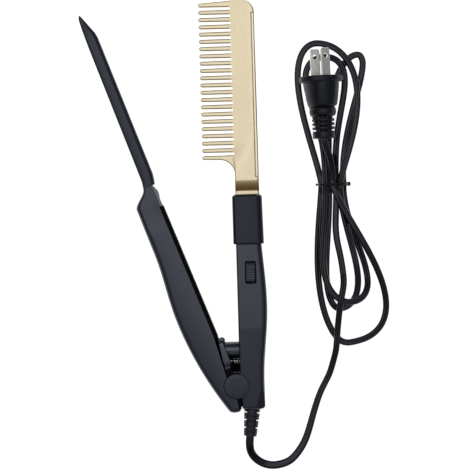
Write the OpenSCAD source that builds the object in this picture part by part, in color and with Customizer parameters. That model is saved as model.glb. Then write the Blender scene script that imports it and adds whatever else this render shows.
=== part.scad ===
// Electric hot comb with a sprung press arm, lying open, with its cord put up in a hank.
// Sizes are in millimetres. The origin is on the pivot axis at the resting plane.
// +Z is up, +Y runs along the comb, and +X points from the teeth to the comb's back.

/* [Handle] */
// Thickness of the handle and of the press arm
body_t = 22; // [21:0.5:25]
// Wall of the moulded shells
wall = 2.2; // [1.8:0.1:2.6]
// Distance from the pivot axis to the handle's inner face
face_x = 2.2; // [2:0.1:2.8]
// Length from the pivot axis to the heat collar
handle_len = 90.2; // [86:0.5:110]
// Length from the pivot axis to the tail end
tail_len = 15.1; // [14.5:0.1:17]
// Distance from the pivot axis to the outer edge at the tail
grip_root = 17.9; // [17.2:0.1:20]
// Swell of the outer edge at the middle of the grip
grip_swell = 3.1; // [1:0.1:5]
// Place of the widest point of the grip
grip_peak = 50.8; // [45:0.5:56]
// Radius of the long outer edges
edge_r = 3.4; // [2:0.1:4.5]

/* [Heat collar] */
// Length of the collar
collar_len = 31.7; // [28:0.1:40]
// How far the collar stands out beside the handle
collar_lap = 1.6; // [0.8:0.1:1.8]
// How far the collar stands above the handle
collar_rise = 1.2; // [0.6:0.1:3]
// Bevel at the collar's front edge
collar_bevel = 1.3; // [0.5:0.1:2]

/* [Comb] */
// Number of teeth
tooth_count = 22; // [14:1:24]
// Distance between teeth
tooth_pitch = 4.65; // [4.4:0.05:5.2]
// Length of a tooth
tooth_len = 20.7; // [16:0.1:24]
// Width of a tooth at its round tip
tip_w = 2.6; // [2:0.1:3]
// Width of a tooth at its root
root_w = 2.9; // [2.6:0.1:3.4]
// Thickness of a tooth
tooth_t = 4; // [3:0.1:4.6]
// Distance from the pivot axis to the tooth roots
root_x = 3; // [2.9:0.1:3.6]
// Width of the spine
spine_w = 15.2; // [14:0.1:18]
// Thickness of the spine
spine_t = 10; // [8.5:0.1:11.5]
// Length of the bare neck between the collar and the fillet
neck_len = 13; // [12:0.1:18]
// Radius of the fillet under the last tooth
fillet_r = 9.5; // [7:0.1:11]
// Thickness of the neck where it enters the collar
neck_t = 7.2; // [6.8:0.1:8.4]
// Width of the strip let into the spine's back
strip_w = 2; // [1.2:0.1:2.6]

/* [Press arm] */
// Angle of the arm when it is open
open_angle = 20.3; // [18:0.1:22]
// Distance from the pivot axis to the arm's inner face
arm_face = 0.8; // [0.4:0.1:0.9]
// Length from the pivot axis to the end of the arm's nose
arm_len = 139; // [136:0.5:141]
// Width of the arm's outer edge at the front of the grip
arm_front_w = 17.2; // [16:0.1:19]
// Width of the arm's outer edge at its widest
arm_wide_w = 20.1; // [19:0.1:22]
// Thickness of the liner along the arm's inner face
liner_t = 2.6; // [2:0.1:3]
// Width of the press blade
blade_w = 8.8; // [8:0.1:9.6]
// Thickness of the press blade over both rails
blade_t = 12; // [10.4:0.1:13.6]
// Width of the slot between the rails
slot_t = 5.4; // [5.2:0.1:6]
// Space between the closed blade and the tooth roots
hair_gap = 1.9; // [1.7:0.1:2.1]
// Length of the pointed tip past the slot
tip_len = 11.4; // [10:0.1:14]

/* [Pivot] */
// Diameter of the pivot pin
pin_d = 4; // [3:0.1:5]
// Diameter of the round caps
cap_d = 16; // [15:0.1:17]
// Thickness of the lower cap
low_cap_t = 1.2; // [1:0.1:1.6]
// Thickness of the upper cap
top_cap_t = 1.5; // [1:0.1:2.5]
// Height of the arm's knuckle between the handle's ears
knuckle_t = 7.2; // [6:0.1:8]

/* [Post and spring] */
// Diameter of the guide post
post_d = 10.7; // [9:0.1:11]
// Distance of the post from the pivot axis
post_y = 22.8; // [22.5:0.1:23.5]
// How far the post stands out of the handle's face
post_out = 10.3; // [8:0.1:10.5]
// Thickness of the guide collar on the arm
flange_t = 3; // [2.4:0.1:3.2]
// How far the guide collar stands out of the arm's face
flange_out = 1.6; // [1.2:0.1:1.8]
// Wire diameter of the return spring
wire_d = 0.95; // [0.6:0.05:1]
// Outside diameter of the return spring
spring_d = 5.2; // [4.6:0.1:6]
// Number of curls in the return spring
curls = 8; // [5:1:8]

/* [Switch] */
// Width of the rocker
rocker_w = 6.5; // [5.5:0.1:8]
// Length of the rocker
rocker_l = 13.3; // [12:0.1:15]
// Distance of the rocker's middle from the heat collar
rocker_back = 18; // [16:0.1:20]
// Tilt of the rocker to each side of level
rock_angle = 5; // [3:0.5:6]
// Number of grip grooves across the rocker
groove_count = 7; // [5:1:8]

/* [Cord and plug] */
// Width of the cord
cord_w = 4.2; // [3.8:0.05:4.25]
// Thickness of the cord
cord_t = 3.5; // [3:0.05:3.55]
// Diameter of the gland where it leaves the handle
gland_d = 10.2; // [9:0.1:11]
// Length of the gland
gland_len = 17.6; // [15:0.1:20]
// Diameter of the plug's finger guard
guard_d = 27.8; // [26:0.1:28]
// Width of a plug blade
prong_w = 6.35; // [6:0.05:6.6]
// Thickness of a plug blade
prong_t = 1.5; // [1.4:0.1:1.7]
// Length of a plug blade
prong_len = 17.8; // [16:0.1:19]
// Distance between the two plug blades
prong_gap = 12.7; // [12:0.1:13]

/* [Hidden] */
$fn = 48;

// Clearances
// between pieces that move past each other
move_gap = 0.3;
// between the pivot pin and its bores, on the radius
run_gap = 0.05;
// around a piece that is let into a pocket
seat_gap = 0.1;

// Heights
mid_z = body_t / 2;
ear_top = mid_z - knuckle_t / 2 - move_gap;
ear_low = mid_z + knuckle_t / 2 + move_gap;
ear_r = cap_d / 2;
pocket_r = ear_r + move_gap;
knuckle_r = ear_r - seat_gap;

// Handle outline
inner_edge_r = 1.2;
tail_step = 1;
step_y = -7.6;
swell_up = 57;
swell_down = 48;
end_round = [[0, 1.6], [0.7, 0.6], [2.6, 0]];
grip_start = 12.4;
crease_at = [grip_root - 0.3, 11];
crease_turn = 16.5;
crease_fall = 30;
function bell(y, peak, reach) = abs(y - peak) >= reach ? 0 : pow(cos(90 * (y - peak) / reach), 2);
function grip_x(y) =
    grip_root + grip_swell * bell(y, grip_peak, y > grip_peak ? swell_up : swell_down);
function handle_in(y) = y < step_y - 0.1 ? face_x + tail_step : face_x;

// Inside the handle
cavity_y0 = post_y + 15.2;
cavity_y1 = handle_len - 6.7;
lead_gap = 1.8;
wire_insul_d = 1.4;
front_lead_x = 13;
rear_lead_x = 14.5;
channel_r = 2.2;
board_x = [5, 17];
board_y = [cavity_y0 + 3, handle_len - 8.2];
board_z = wall + 2.8;
board_t = 1.6;
block_z = mid_z + 1.5;
block_w = 4.4;
fuse_d = 3.4;
fuse_len = 11;
fuse_x = 8;
spigot_len = 6.8;
spigot_x = [4.5, 16.5];
spigot_z = [4, body_t - 4];

// Heat collar and comb
collar_x = [face_x - collar_lap, grip_root + 2.2];
collar_y = [handle_len, handle_len + collar_len];
collar_z = [0, body_t + collar_rise];
collar_r = [2.6, 4];
collar_taper = 0.5;
tang_x = [4.5, 16.5];
tang_t = 6;
tang_y = collar_y[0] + spigot_len + 3;
neck_x = [root_x - 0.2, root_x + spine_w - 0.1];
slope_len = 7.1;
slope_start = 2.5;
tooth_y0 = collar_y[1] + neck_len + fillet_r + root_w / 2;
tooth_y1 = tooth_y0 + (tooth_count - 1) * tooth_pitch;
slot_r = (tooth_pitch - root_w) / 2;
back_x = root_x + spine_w;
comb_top = tooth_y1 + 3.4;
back_corner = 9;
spine_x = root_x - slot_r;
tip_x = root_x - tooth_len + tip_w / 2;
strip_y = [collar_y[1] + 11, comb_top - back_corner];
strip_step = 0.7;
core_x = [7, 15];
core_t = 3.2;
core_y = [tang_y - 2, comb_top - 11];

// Switch
window_gap = 0.3;
axle_d = 1.8;
axle_z = body_t - 3.8;
rocker_x = 11;
rocker_y = handle_len - rocker_back;
window_r = 1.2;
rocker_r = rocker_l / 2 + 0.25;
rocker_z = [axle_z - 1.6, body_t + 0.4];
switch_wall = 1.25;
groove_pitch = 1.47;
rocker_room_x = [rocker_x - rocker_w / 2 - window_gap, rocker_x + rocker_w / 2 + window_gap];
rocker_room_y = [rocker_y - rocker_r - window_gap, rocker_y + rocker_r + window_gap];

// Tail: gland and grip
gland_x = 9.6;
gland_lean = 6.2;
gland_end_d = 8.3;
gland_seat = 1.2;
gland_stub = [7, 3];
grip_block = [[9.2, 16.6], [-9.8, -3.8], [mid_z - 4, mid_z + 4]];

// Screws
screw_d = 2.5;
head_d = 5;
head_t = 2;
head_sunk = 0.5;
screw_len = 16;
handle_screw_at = [[7.5, post_y + 11.4], [6.6, cavity_y1 + 3.4]];
arm_screw_at = [[-12, post_y + 11.2], [-10.5, arm_len - 18.4]];

// Press arm outline, drawn closed beside the comb and then turned open
arm_peak = 52;
arm_front_reach = 46;
arm_bend = 0.0023;
arm_tail = 15.6;
arm_tail_y = -8.4;
arm_tail_x = -0.3;
arm_tail_slope = 0.375;
liner_y = [post_y + 11.6, arm_len - 14.7];
shoulder_y = arm_len - 11.5;
nose_z = 4.2;
face_draft = 1.1 / 91;
arm_grip_y = [post_y + 11.2, shoulder_y - 8.1];
arm_nose_r = 1.8;
blade_x = [root_x - hair_gap - blade_w, root_x - hair_gap];
tang_in = -1.9;
tang_out = -0.2;
arm_cavity = [post_y + 17.2, arm_len - 23];
shank_x = [-6.4, -3.2];
shank_y = arm_len - 15;
shank_t = 9;
lug_y = [arm_len - 13, arm_len - 7];
lug_in = 1;
lug_t = 6;
slot_y1 = tooth_y1 + 3.4;
blade_end = slot_y1 + tip_len;
function arm_face_x(y) = y < arm_tail_y + 0.4 ? arm_tail_x + (y - arm_tail_y) * arm_tail_slope
    : y < liner_y[0] ? arm_face : arm_face - face_draft * (y - liner_y[0]);
function arm_back_x(y) = y > arm_peak
    ? arm_front_w + (arm_wide_w - arm_front_w) * bell(y, arm_peak, arm_front_reach)
    : arm_wide_w - arm_bend * pow(arm_peak - y, 2);
function ease(t) = (1 - cos(180 * min(max(t, 0), 1))) / 2;
function nose_part(y) = ease((y - shoulder_y) / (arm_len - shoulder_y));

// Post, guide collar and spring
post_z = mid_z + 2.2;
post_end = face_x + 0.4 - post_out;
window_y = [post_y - 11, post_y + 9.5];
flange_y = [window_y[0] + 0.6, window_y[1] - 0.6];
flange_z = [4, body_t - 2];
flange_r = 4;
window_depth = 0.8;
bead_r = 1.6;
bead_y = flange_y[1] - bead_r;
bead_depth = 2.2;
post_way = [post_y - 0.25, post_y + 0.9];
post_way_r = post_d / 2 + move_gap;
post_foot = [8, 6];
spring_y = post_y - 7.5;
spring_z = mid_z - 3;
spring_seat = 12;
spring_r = (spring_d - wire_d) / 2;
flange_x = arm_face + flange_out;
spring_meet = (flange_x - spring_y * sin(open_angle)) / cos(open_angle);
spring_bore = spring_d / 2 + 0.45;

// Cord: places of the strands where the tie holds them, and heights of the layers
tie_y = 127;
slot_step = cord_w + 0.5;
layer = cord_t + 0.45;
low_z = cord_t / 2 + 0.1;
tie_z = low_z + 0.95;
bundle_x = 65.45;
function slot_x(k) = bundle_x + k * slot_step / 2;
L1 = low_z;
L2 = low_z + layer;
L3 = low_z + 2 * layer;
S1 = tie_z;
S2 = tie_z + layer;
S3 = tie_z + layer + 1.85;

// Route of the free cord from the gland to the hank, chosen by eye
gland_tip = [gland_x - gland_len * sin(gland_lean), -tail_len - gland_len * cos(gland_lean), mid_z];
lead_route = [[7.3, -36.5, 10.6], [7.5, -41, 8.6], [9.5, -46, 5], [14.5, -50.5, 2.4], [21, -52.5, 1.9],
    [27, -52, 1.9], [32.5, -50, 1.9], [37.5, -45.5, 1.9], [43, -37, 1.9], [47, -26, 1.9],
    [50.5, -15, 1.9], [55, -4, 1.9], [60, 5.5, 1.9], [62.5, 13, 3], [64.5, 21, 5.6], [65.5, 30, 6],
    [66.5, 39, 7.2], [67.5, 47, 9.4], [69, 55, 9.9], [70.5, 63, 8.6], [70.3, 71, 6.4], [69, 81, 5.8],
    [67.2, 91, 5.4], [66.7, 101, 4], [67.2, 110, 3.2], [67.6, 117, 2.8]];
hank_start = [slot_x(1), 122, S1];
hank_stop = [slot_x(0), 132, S3 + 0.3];
tail_route = [[65.2, 138, 10.6], [63.6, 145, 14.2], [61.4, 151, 16.9]];

// Hank: one row for each half turn, written as
// [direction, first strand, last strand, reach, lean, bulge right, bulge left, sharpness, heights]
half_turns = [
    [1, 1, -2, 82, -1.5, 21, 23, 4.4,
        [[0, S1], [30, S1], [58, L2], [155, L2], [190, L1], [250, L1], [300, S2], [360, S2]]],
    [-1, -2, 3, 76, 7.5, 21, 16.5, 2.9,
        [[0, S2], [40, L2], [205, L2], [240, L1], [330, L1], [360, S1]]],
    [1, 3, -1, 83, 16, 9.5, 11.5, 3.2, [[0, S1], [30, L1], [330, L1], [360, S1]]],
    [-1, -1, 2, 80, 1, 19, 9.5, 2.8,
        [[0, S1], [30, L1], [220, L1], [250, L2], [312, L2], [338, S2], [360, S2]]],
    [1, 2, -3, 91, -6.5, 26, 18, 1.5,
        [[0, S2], [30, L2], [145, L2], [180, L1], [340, L1], [360, S1]]],
    [-1, -3, 0, 102, 9.5, 42, 13, 1.65,
        [[0, S1], [30, L1], [235, L1], [290, L3], [330, L3], [350, S3], [360, S3]]]];
turn_rings = 24;
function height_at(keys, a, i = 0) = i >= len(keys) - 2 || a <= keys[i + 1][0]
    ? keys[i][1] + (keys[i + 1][1] - keys[i][1]) * ease((a - keys[i][0]) / (keys[i + 1][0] - keys[i][0]))
    : height_at(keys, a, i + 1);
function lobe_point(h, a) = let (
        rise = (1 - cos(a)) / 2,
        right = h[0] > 0 ? a < 180 : a > 180,
        bulge = (right ? h[5] : -h[6]) * abs(sin(a)) * pow(sin(a / 2), h[7]),
        drift = (slot_x(h[2]) - slot_x(h[1])) * (1 - cos(a / 2)) / 2)
    [slot_x(h[1]) + drift + h[4] * rise * rise + bulge, tie_y + h[0] * h[3] * rise, height_at(h[8], a)];
hank_route = concat([hank_start],
    [for (h = half_turns) for (i = [0:turn_rings - 1]) lobe_point(h, (i + 0.5) * 360 / turn_rings)],
    [hank_stop]);

// Plug, drawn along -Y from the middle of its front face
plug_at = [59.5, 195.7, low_z + cord_t / 2 + guard_d / 2 + 0.15];
plug_turn = 1.3;
plug_roll = 61;
guard_t = 3.7;
plug_body_len = 15.7;
relief_len = 20.3;
relief_d = 6.4;
ring_len = 6.2;
ring_bulge = 1.7;
fin_d = [15.2, 14];
fin_t = 1.6;
fin_gap = 1;
end_block_len = 4.7;
prong_root = 5;
prong_hole_d = 3.2;
plug_stations = [[0, 12.6, 10.2], [4.6, 12.1, 9.9], [11, 11, 9.2], [15, 10.1, 8.4], [15.7, 9.4, 7.7]];
plug_exit = plug_at + (guard_t + plug_body_len + relief_len) * [sin(plug_turn), -cos(plug_turn), 0];

// Least gap of a tube to itself: segments further apart along it than skip are compared.
// Heights are stretched so that the flat section counts as round.
function dot(a, b) = a * b;
function clamp01(t) = min(max(t, 0), 1);
function seg_gap(p, q, r, s) = let (
        a = q - p, b = s - r, c = p - r, aa = dot(a, a), bb = dot(b, b), ab = dot(a, b),
        den = aa * bb - ab * ab,
        m0 = den > 0.000001 ? clamp01((ab * dot(b, c) - bb * dot(a, c)) / den) : 0,
        n = clamp01((ab * m0 + dot(b, c)) / bb),
        m = clamp01((ab * n - dot(a, c)) / aa))
    norm(p + a * m - r - b * n);
function run_to(route, i) = i == 0 ? 0 : norm(route[i] - route[i - 1]) + run_to(route, i - 1);
function least_gap(route, size, skip) = let (
        runs = [for (i = 0, s = 0; i < len(route); i = i + 1,
            s = s + (i < len(route) ? norm(route[i] - route[i - 1]) : 0)) s],
        n = len(route) - 1)
    min([for (i = [0:n - 1]) for (j = [i + 2:1:n - 1])
        if (runs[j] - runs[i + 1] > skip)
            if (norm(route[i] - route[j]) - 9
                    < norm(route[i + 1] - route[i]) + norm(route[j + 1] - route[j]))
                seg_gap(route[i], route[i + 1], route[j], route[j + 1])]) - size;
function round_out(route) = [for (p = route) [p[0], p[1], p[2] * cord_w / cord_t]];
echo("least gap of the hank to itself", least_gap(round_out(hank_route), cord_w, 3 * cord_w));
echo("length of the hank", run_to(hank_route, len(hank_route) - 1));
echo("length of the lead", run_to(concat([gland_tip], lead_route, [hank_start]), len(lead_route) + 1));

// A ring of points of a rounded rectangle across the Y axis
corner_steps = 4;
function corner(x, z, r, a0) =
    [for (i = [0:corner_steps]) [x + r * cos(a0 + 90 * i / corner_steps),
        z + r * sin(a0 + 90 * i / corner_steps)]];
function round_ring(x0, x1, z0, z1, ri, ro) = concat(
    corner(x1 - ro, z1 - ro, ro, 0), corner(x0 + ri, z1 - ri, ri, 90),
    corner(x0 + ri, z0 + ri, ri, 180), corner(x1 - ro, z0 + ro, ro, 270));
function ellipse_ring(rx, rz, n = 24) = [for (i = [0:n - 1]) [rx * cos(360 * i / n), rz * sin(360 * i / n)]];

// A closed skin over rings of equally many points
module skin(rings) {
    n = len(rings[0]);
    last = (len(rings) - 1) * n;
    sides = [for (k = [0:len(rings) - 2]) for (i = [0:n - 1]) let (
            a = k * n + i, b = k * n + (i + 1) % n)
        each [[a, a + n, b], [b, a + n, b + n]]];
    first_cap = [for (i = [1:n - 2]) [0, i, i + 1]];
    last_cap = [for (i = [1:n - 2]) [last, last + i + 1, last + i]];
    polyhedron([for (r = rings) each r], concat(sides, first_cap, last_cap), convexity = 8);
}

// A skin over stations along Y, each written as [y, ring]
module loft(stations) {
    skin([for (s = stations) [for (i = [len(s[1]) - 1:-1:0]) [s[1][i][0], s[0], s[1][i][1]]]]);
}

// An unbroken tube along a route. The first and last directions set the end faces,
// and each ref is a vector across the tube, along its thickness.
module tube(route, w, t, sides, first, last, refs) {
    n = len(route) - 1;
    function way(i) = i == 0 ? first : i == n ? last
        : (route[i + 1] - route[i]) / norm(route[i + 1] - route[i])
        + (route[i] - route[i - 1]) / norm(route[i] - route[i - 1]);
    rings = [for (i = [0:n]) let (
            d = way(i) / norm(way(i)),
            flat = refs[i] - dot(refs[i], d) * d,
            u = flat / norm(flat),
            v = cross(d, u))
        [for (k = [0:sides - 1]) route[i] + v * (w / 2) * cos(360 * k / sides)
            - u * (t / 2) * sin(360 * k / sides) / (sides == 6 ? sin(60) : 1)]];
    skin(rings);
}

module cord_tube(route, sides, first, last) {
    tube(route, cord_w, cord_t, sides, first, last, [for (p = route) [0, 0, 1]]);
}

// A block given by its low and high corners along each axis
module block(x, y, z) {
    translate([x[0], y[0], z[0]])
        cube([x[1] - x[0], y[1] - y[0], z[1] - z[0]]);
}

// A rod along X, Y or Z from a point
module rod_x(at, d, l) {
    translate(at)
        rotate([0, 90, 0])
            cylinder(d = d, h = l);
}
module rod_y(at, d, l) {
    translate(at)
        rotate([-90, 0, 0])
            cylinder(d = d, h = l);
}
module rod_z(at, d, l) {
    translate(at)
        cylinder(d = d, h = l);
}

// A plate across X with rounded corners
module plate_x(x, y, z, r) {
    translate([x[0], 0, 0])
        rotate([90, 0, 90])
            linear_extrude(x[1] - x[0])
                round_rect(y, z, r);
}
module round_rect(x, y, r) {
    translate([x[0] + r, y[0]])
        square([x[1] - x[0] - 2 * r, y[1] - y[0]]);
    translate([x[0], y[0] + r])
        square([x[1] - x[0], y[1] - y[0] - 2 * r]);
    for (cx = [x[0] + r, x[1] - r])
        for (cy = [y[0] + r, y[1] - r])
            translate([cx, cy])
                circle(r);
}

// A screw from below, and the room it needs
module screw(at, gap = 0) {
    rod_z([at[0], at[1], head_sunk - (gap > 0 ? 2 : 0)], head_d + 2 * gap, head_t + (gap > 0 ? 2 : 0));
    rod_z([at[0], at[1], head_sunk + head_t - 0.01], screw_d + 2 * gap, screw_len - head_t);
}

// Everything above or below the parting plane
module above_mid() {
    block([-arm_len, arm_len], [-arm_len, 2 * arm_len], [mid_z, mid_z + body_t]);
}
module below_mid() {
    block([-arm_len, arm_len], [-arm_len, 2 * arm_len], [mid_z - body_t, mid_z]);
}

// Handle
module handle_form() {
    ys = concat([step_y - 0.4, step_y, 0, grip_start],
        [for (k = [1:8]) grip_start + (handle_len - grip_start) * k / 8]);
    loft(concat(
        [for (e = end_round) let (y = -tail_len + e[0])
            [y, round_ring(handle_in(y) + e[1], grip_x(y) - e[1], e[1], body_t - e[1],
                inner_edge_r, edge_r)]],
        [for (y = ys) [y, round_ring(handle_in(y), grip_x(y), 0, body_t, inner_edge_r, edge_r)]]));
}

module cavity_outline() {
    steps = 6;
    xs = [for (k = [0:steps]) cavity_y0 + (cavity_y1 - cavity_y0) * k / steps];
    polygon(concat([[face_x + wall, cavity_y0], [face_x + wall, cavity_y1]],
        [for (k = [steps:-1:0]) [grip_x(xs[k]) - wall, xs[k]]]));
}

module gland_place() {
    translate([gland_x, -tail_len, mid_z])
        rotate([0, 0, -gland_lean])
            rotate([90, 0, 0])
                children();
}

// The whole handle before it is split into its two shells
module handle_solid() {
    difference() {
        union() {
            handle_form();
            rod_z([0, 0, low_cap_t], 2 * ear_r, ear_top - low_cap_t);
            rod_z([0, 0, ear_low], 2 * ear_r, body_t - ear_low);
            block(spigot_x, [handle_len - 1, handle_len + spigot_len], spigot_z);
        }
        // room for the arm's knuckle, the lower cap and the pin
        rod_z([0, 0, ear_top], 2 * pocket_r, ear_low - ear_top);
        rod_z([0, 0, -1], cap_d + 2 * seat_gap, 1 + low_cap_t);
        rod_z([0, 0, -1], pin_d + 2 * run_gap, body_t + 2);
        // window for the guide collar, socket of the post and bore of the spring
        plate_x([face_x - 2, face_x + window_depth], window_y, [flange_z[0] - 0.6, flange_z[1] + 0.6], 2);
        plate_x([face_x - 2, face_x + bead_depth], [window_y[1] - 4.8, window_y[1]],
            [flange_z[0] + 1, flange_z[1] - 1], 1);
        rod_x([face_x, post_y, post_z], post_foot[0], window_depth + post_foot[1]);
        rod_x([face_x, spring_y, spring_z], 2 * spring_bore, spring_seat - face_x);
        // room inside
        translate([0, 0, wall])
            linear_extrude(body_t - 2 * wall)
                cavity_outline();
        rod_y([front_lead_x, cavity_y1 - 1, mid_z], 2 * channel_r, handle_len + spigot_len - cavity_y1 + 2);
        rod_y([rear_lead_x, grip_block[1][1] - 1, mid_z], 2 * channel_r,
            cavity_y0 - grip_block[1][1] + 2);
        block(grip_block[0], grip_block[1], grip_block[2]);
        // gland
        gland_place()
            translate([0, 0, -gland_seat])
                cylinder(d = gland_d + 2 * seat_gap, h = 10);
        gland_place()
            translate([0, 0, -gland_seat - gland_stub[1]])
                cylinder(d = gland_stub[0] + 2 * seat_gap, h = 10);
        for (at = handle_screw_at)
            screw(at, run_gap);
    }
}

module handle_bottom() {
    color([0.15, 0.16, 0.18]) {
        difference() {
            handle_solid();
            above_mid();
        }
        // ribs under the circuit board
        for (y = [board_y[0] + 3, board_y[1] - 5])
            block([face_x + wall, board_x[1] - 0.5], [y, y + 1.5], [wall, board_z]);
    }
}

module handle_top() {
    color([0.18, 0.19, 0.21])
        difference() {
            handle_solid();
            below_mid();
            // window of the rocker
            translate([0, 0, mid_z])
                linear_extrude(body_t)
                    round_rect(rocker_room_x, rocker_room_y, window_r);
            // lowered corner beside the gland
            translate([crease_at[0], crease_at[1], body_t])
                rotate([0, 0, -crease_turn])
                    rotate([0, crease_fall, 0])
                        translate([0, -2 * body_t, 0])
                            cube([body_t, 4 * body_t, mid_z]);
        }
}

module pivot_pin() {
    color("silver")
        rod_z([0, 0, low_cap_t / 2], pin_d, body_t - low_cap_t / 2 + top_cap_t / 2);
}

module pivot_cap_top() {
    color([0.2, 0.21, 0.23])
        difference() {
            union() {
                rod_z([0, 0, body_t], cap_d, top_cap_t - 0.5);
                translate([0, 0, body_t + top_cap_t - 0.5])
                    cylinder(d1 = cap_d, d2 = cap_d - 1.2, h = 0.5);
            }
            rod_z([0, 0, body_t - 1], pin_d + 2 * run_gap, 1 + top_cap_t / 2);
        }
}

module pivot_cap_bottom() {
    color([0.2, 0.21, 0.23])
        difference() {
            rod_z([0, 0, 0], cap_d, low_cap_t);
            rod_z([0, 0, low_cap_t / 2], pin_d + 2 * run_gap, low_cap_t);
        }
}

module handle_screws() {
    color("silver")
        for (at = handle_screw_at)
            screw(at);
}

// Heat collar
module heat_collar() {
    r = collar_r;
    color([0.16, 0.17, 0.19])
        difference() {
            loft([
                [collar_y[0], round_ring(collar_x[0], collar_x[1], collar_z[0], collar_z[1], r[0], r[1])],
                [collar_y[1] - collar_bevel, round_ring(collar_x[0], collar_x[1] - collar_taper,
                    collar_z[0], collar_z[1], r[0], r[1])],
                [collar_y[1], round_ring(collar_x[0] + collar_bevel,
                    collar_x[1] - collar_taper - collar_bevel,
                    collar_z[0] + collar_bevel, collar_z[1] - collar_bevel, r[0], r[1])]]);
            block([spigot_x[0] - seat_gap, spigot_x[1] + seat_gap],
                [collar_y[0] - 1, collar_y[0] + spigot_len + seat_gap],
                [spigot_z[0] - seat_gap, spigot_z[1] + seat_gap]);
            block([tang_x[0] - seat_gap, tang_x[1] + seat_gap], [collar_y[0], collar_y[1] + 1],
                [mid_z - tang_t / 2 - seat_gap, mid_z + tang_t / 2 + seat_gap]);
        }
}

// Comb: plan of the neck, spine and teeth, drawn anticlockwise from the collar
function arc(c, r, from, to, steps) = [for (i = [0:steps]) let (a = from + (to - from) * i / steps)
    [c[0] + r * cos(a), c[1] + r * sin(a)]];
function tooth_y(k) = tooth_y0 + k * tooth_pitch;
comb_outline = concat(
    [[neck_x[0], collar_y[1]], [neck_x[1], collar_y[1]], [neck_x[1], strip_y[0]],
        [back_x - strip_w, strip_y[0]], [back_x - strip_w, strip_y[1]], [back_x, strip_y[1]]],
    arc([back_x - back_corner, comb_top - back_corner], back_corner, 0, 90, 8),
    [for (k = [tooth_count - 1:-1:1]) each concat(
        arc([tip_x, tooth_y(k)], tip_w / 2, 90, 270, 6),
        arc([spine_x, tooth_y(k - 0.5)], slot_r, 90, -90, 6))],
    arc([tip_x, tooth_y0], tip_w / 2, 90, 270, 6),
    arc([neck_x[0] - fillet_r, tooth_y0 - root_w / 2 - fillet_r], fillet_r, 90, 0, 8));

// Side profile of the comb, thick at the spine and thinner at the neck
module spine_side() {
    y0 = collar_y[1] + slope_start;
    steps = 6;
    slope = [for (k = [0:steps]) [y0 + slope_len * k / steps,
        neck_t / 2 + (spine_t - neck_t) / 2 * ease(k / steps)]];
    top = concat([[collar_y[1], neck_t / 2]], slope, [[comb_top + 1, spine_t / 2]]);
    polygon(concat([for (p = top) [p[0], mid_z + p[1]]],
        [for (k = [len(top) - 1:-1:0]) [top[k][0], mid_z - top[k][1]]]));
}

module comb_head() {
    color([0.88, 0.83, 0.7])
        difference() {
            union() {
                // the thick part, from the tooth roots to the back
                intersection() {
                    linear_extrude(2 * body_t)
                        polygon(comb_outline);
                    translate([spine_x, 0, 0])
                        rotate([90, 0, 90])
                            linear_extrude(2 * spine_w)
                                spine_side();
                }
                // the teeth and the web under them
                translate([0, 0, mid_z - tooth_t / 2])
                    linear_extrude(tooth_t)
                        polygon(comb_outline);
                block(tang_x, [tang_y, collar_y[1] + 1],
                    [mid_z - tang_t / 2, mid_z + tang_t / 2]);
            }
            block([core_x[0] - seat_gap, core_x[1] + seat_gap], [tang_y - 1, core_y[1] + seat_gap],
                [mid_z - core_t / 2 - seat_gap, mid_z + core_t / 2 + seat_gap]);
        }
}

module spine_strip() {
    z = [mid_z - spine_t / 2 + strip_step, mid_z + spine_t / 2 - strip_step];
    color([0.92, 0.88, 0.77])
        difference() {
            block([back_x - strip_w, back_x], strip_y, z);
            // softened back edges
            for (side = [0, 1])
                translate([back_x, strip_y[0] - 1, z[side]])
                    rotate([0, 45, 0])
                        translate([-0.5, 0, -0.5])
                            cube([1, strip_y[1] - strip_y[0] + 2, 1]);
        }
}

module heater_core() {
    color([0.75, 0.72, 0.62])
        block(core_x, core_y, [mid_z - core_t / 2, mid_z + core_t / 2]);
}

module heater_leads() {
    color("firebrick")
        for (side = [-1, 1])
            rod_y([front_lead_x + side * lead_gap / 2, board_y[1] + 0.5, mid_z], wire_insul_d,
                core_y[0] - board_y[1] - 0.5);
}

module supply_leads() {
    color("royalblue")
        for (side = [-1, 1])
            rod_y([rear_lead_x + side * lead_gap / 2, grip_block[1][1], mid_z], wire_insul_d,
                board_y[0] - grip_block[1][1]);
}

module circuit_board() {
    color("seagreen") {
        block(board_x, board_y, [board_z, board_z + board_t]);
        block([front_lead_x - block_w / 2, front_lead_x + block_w / 2],
            [board_y[1] - 1.5, board_y[1] + 0.5], [board_z, block_z]);
        block([rear_lead_x - block_w / 2, rear_lead_x + block_w / 2],
            [board_y[0], board_y[0] + 3.5], [board_z, block_z]);
    }
}

module thermal_fuse() {
    color("lightgray")
        difference() {
            rod_y([fuse_x, board_y[0] + 2, board_z + board_t + fuse_d / 2 - 0.1], fuse_d, fuse_len);
            block([fuse_x - fuse_d, fuse_x + fuse_d], board_y, [board_z, board_z + board_t]);
        }
}

// Switch
module switch_body() {
    x = rocker_room_x + [-switch_wall, switch_wall];
    y = rocker_room_y + [-0.8, 0.8];
    color([0.3, 0.3, 0.32])
        difference() {
            block(x, y, [board_z + board_t, body_t - wall]);
            block(rocker_room_x, rocker_room_y, [axle_z - 3.4, body_t]);
            rod_x([x[0] + 0.3, rocker_y, axle_z], axle_d + 2 * run_gap, x[1] - x[0] - 0.6);
        }
}

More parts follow.
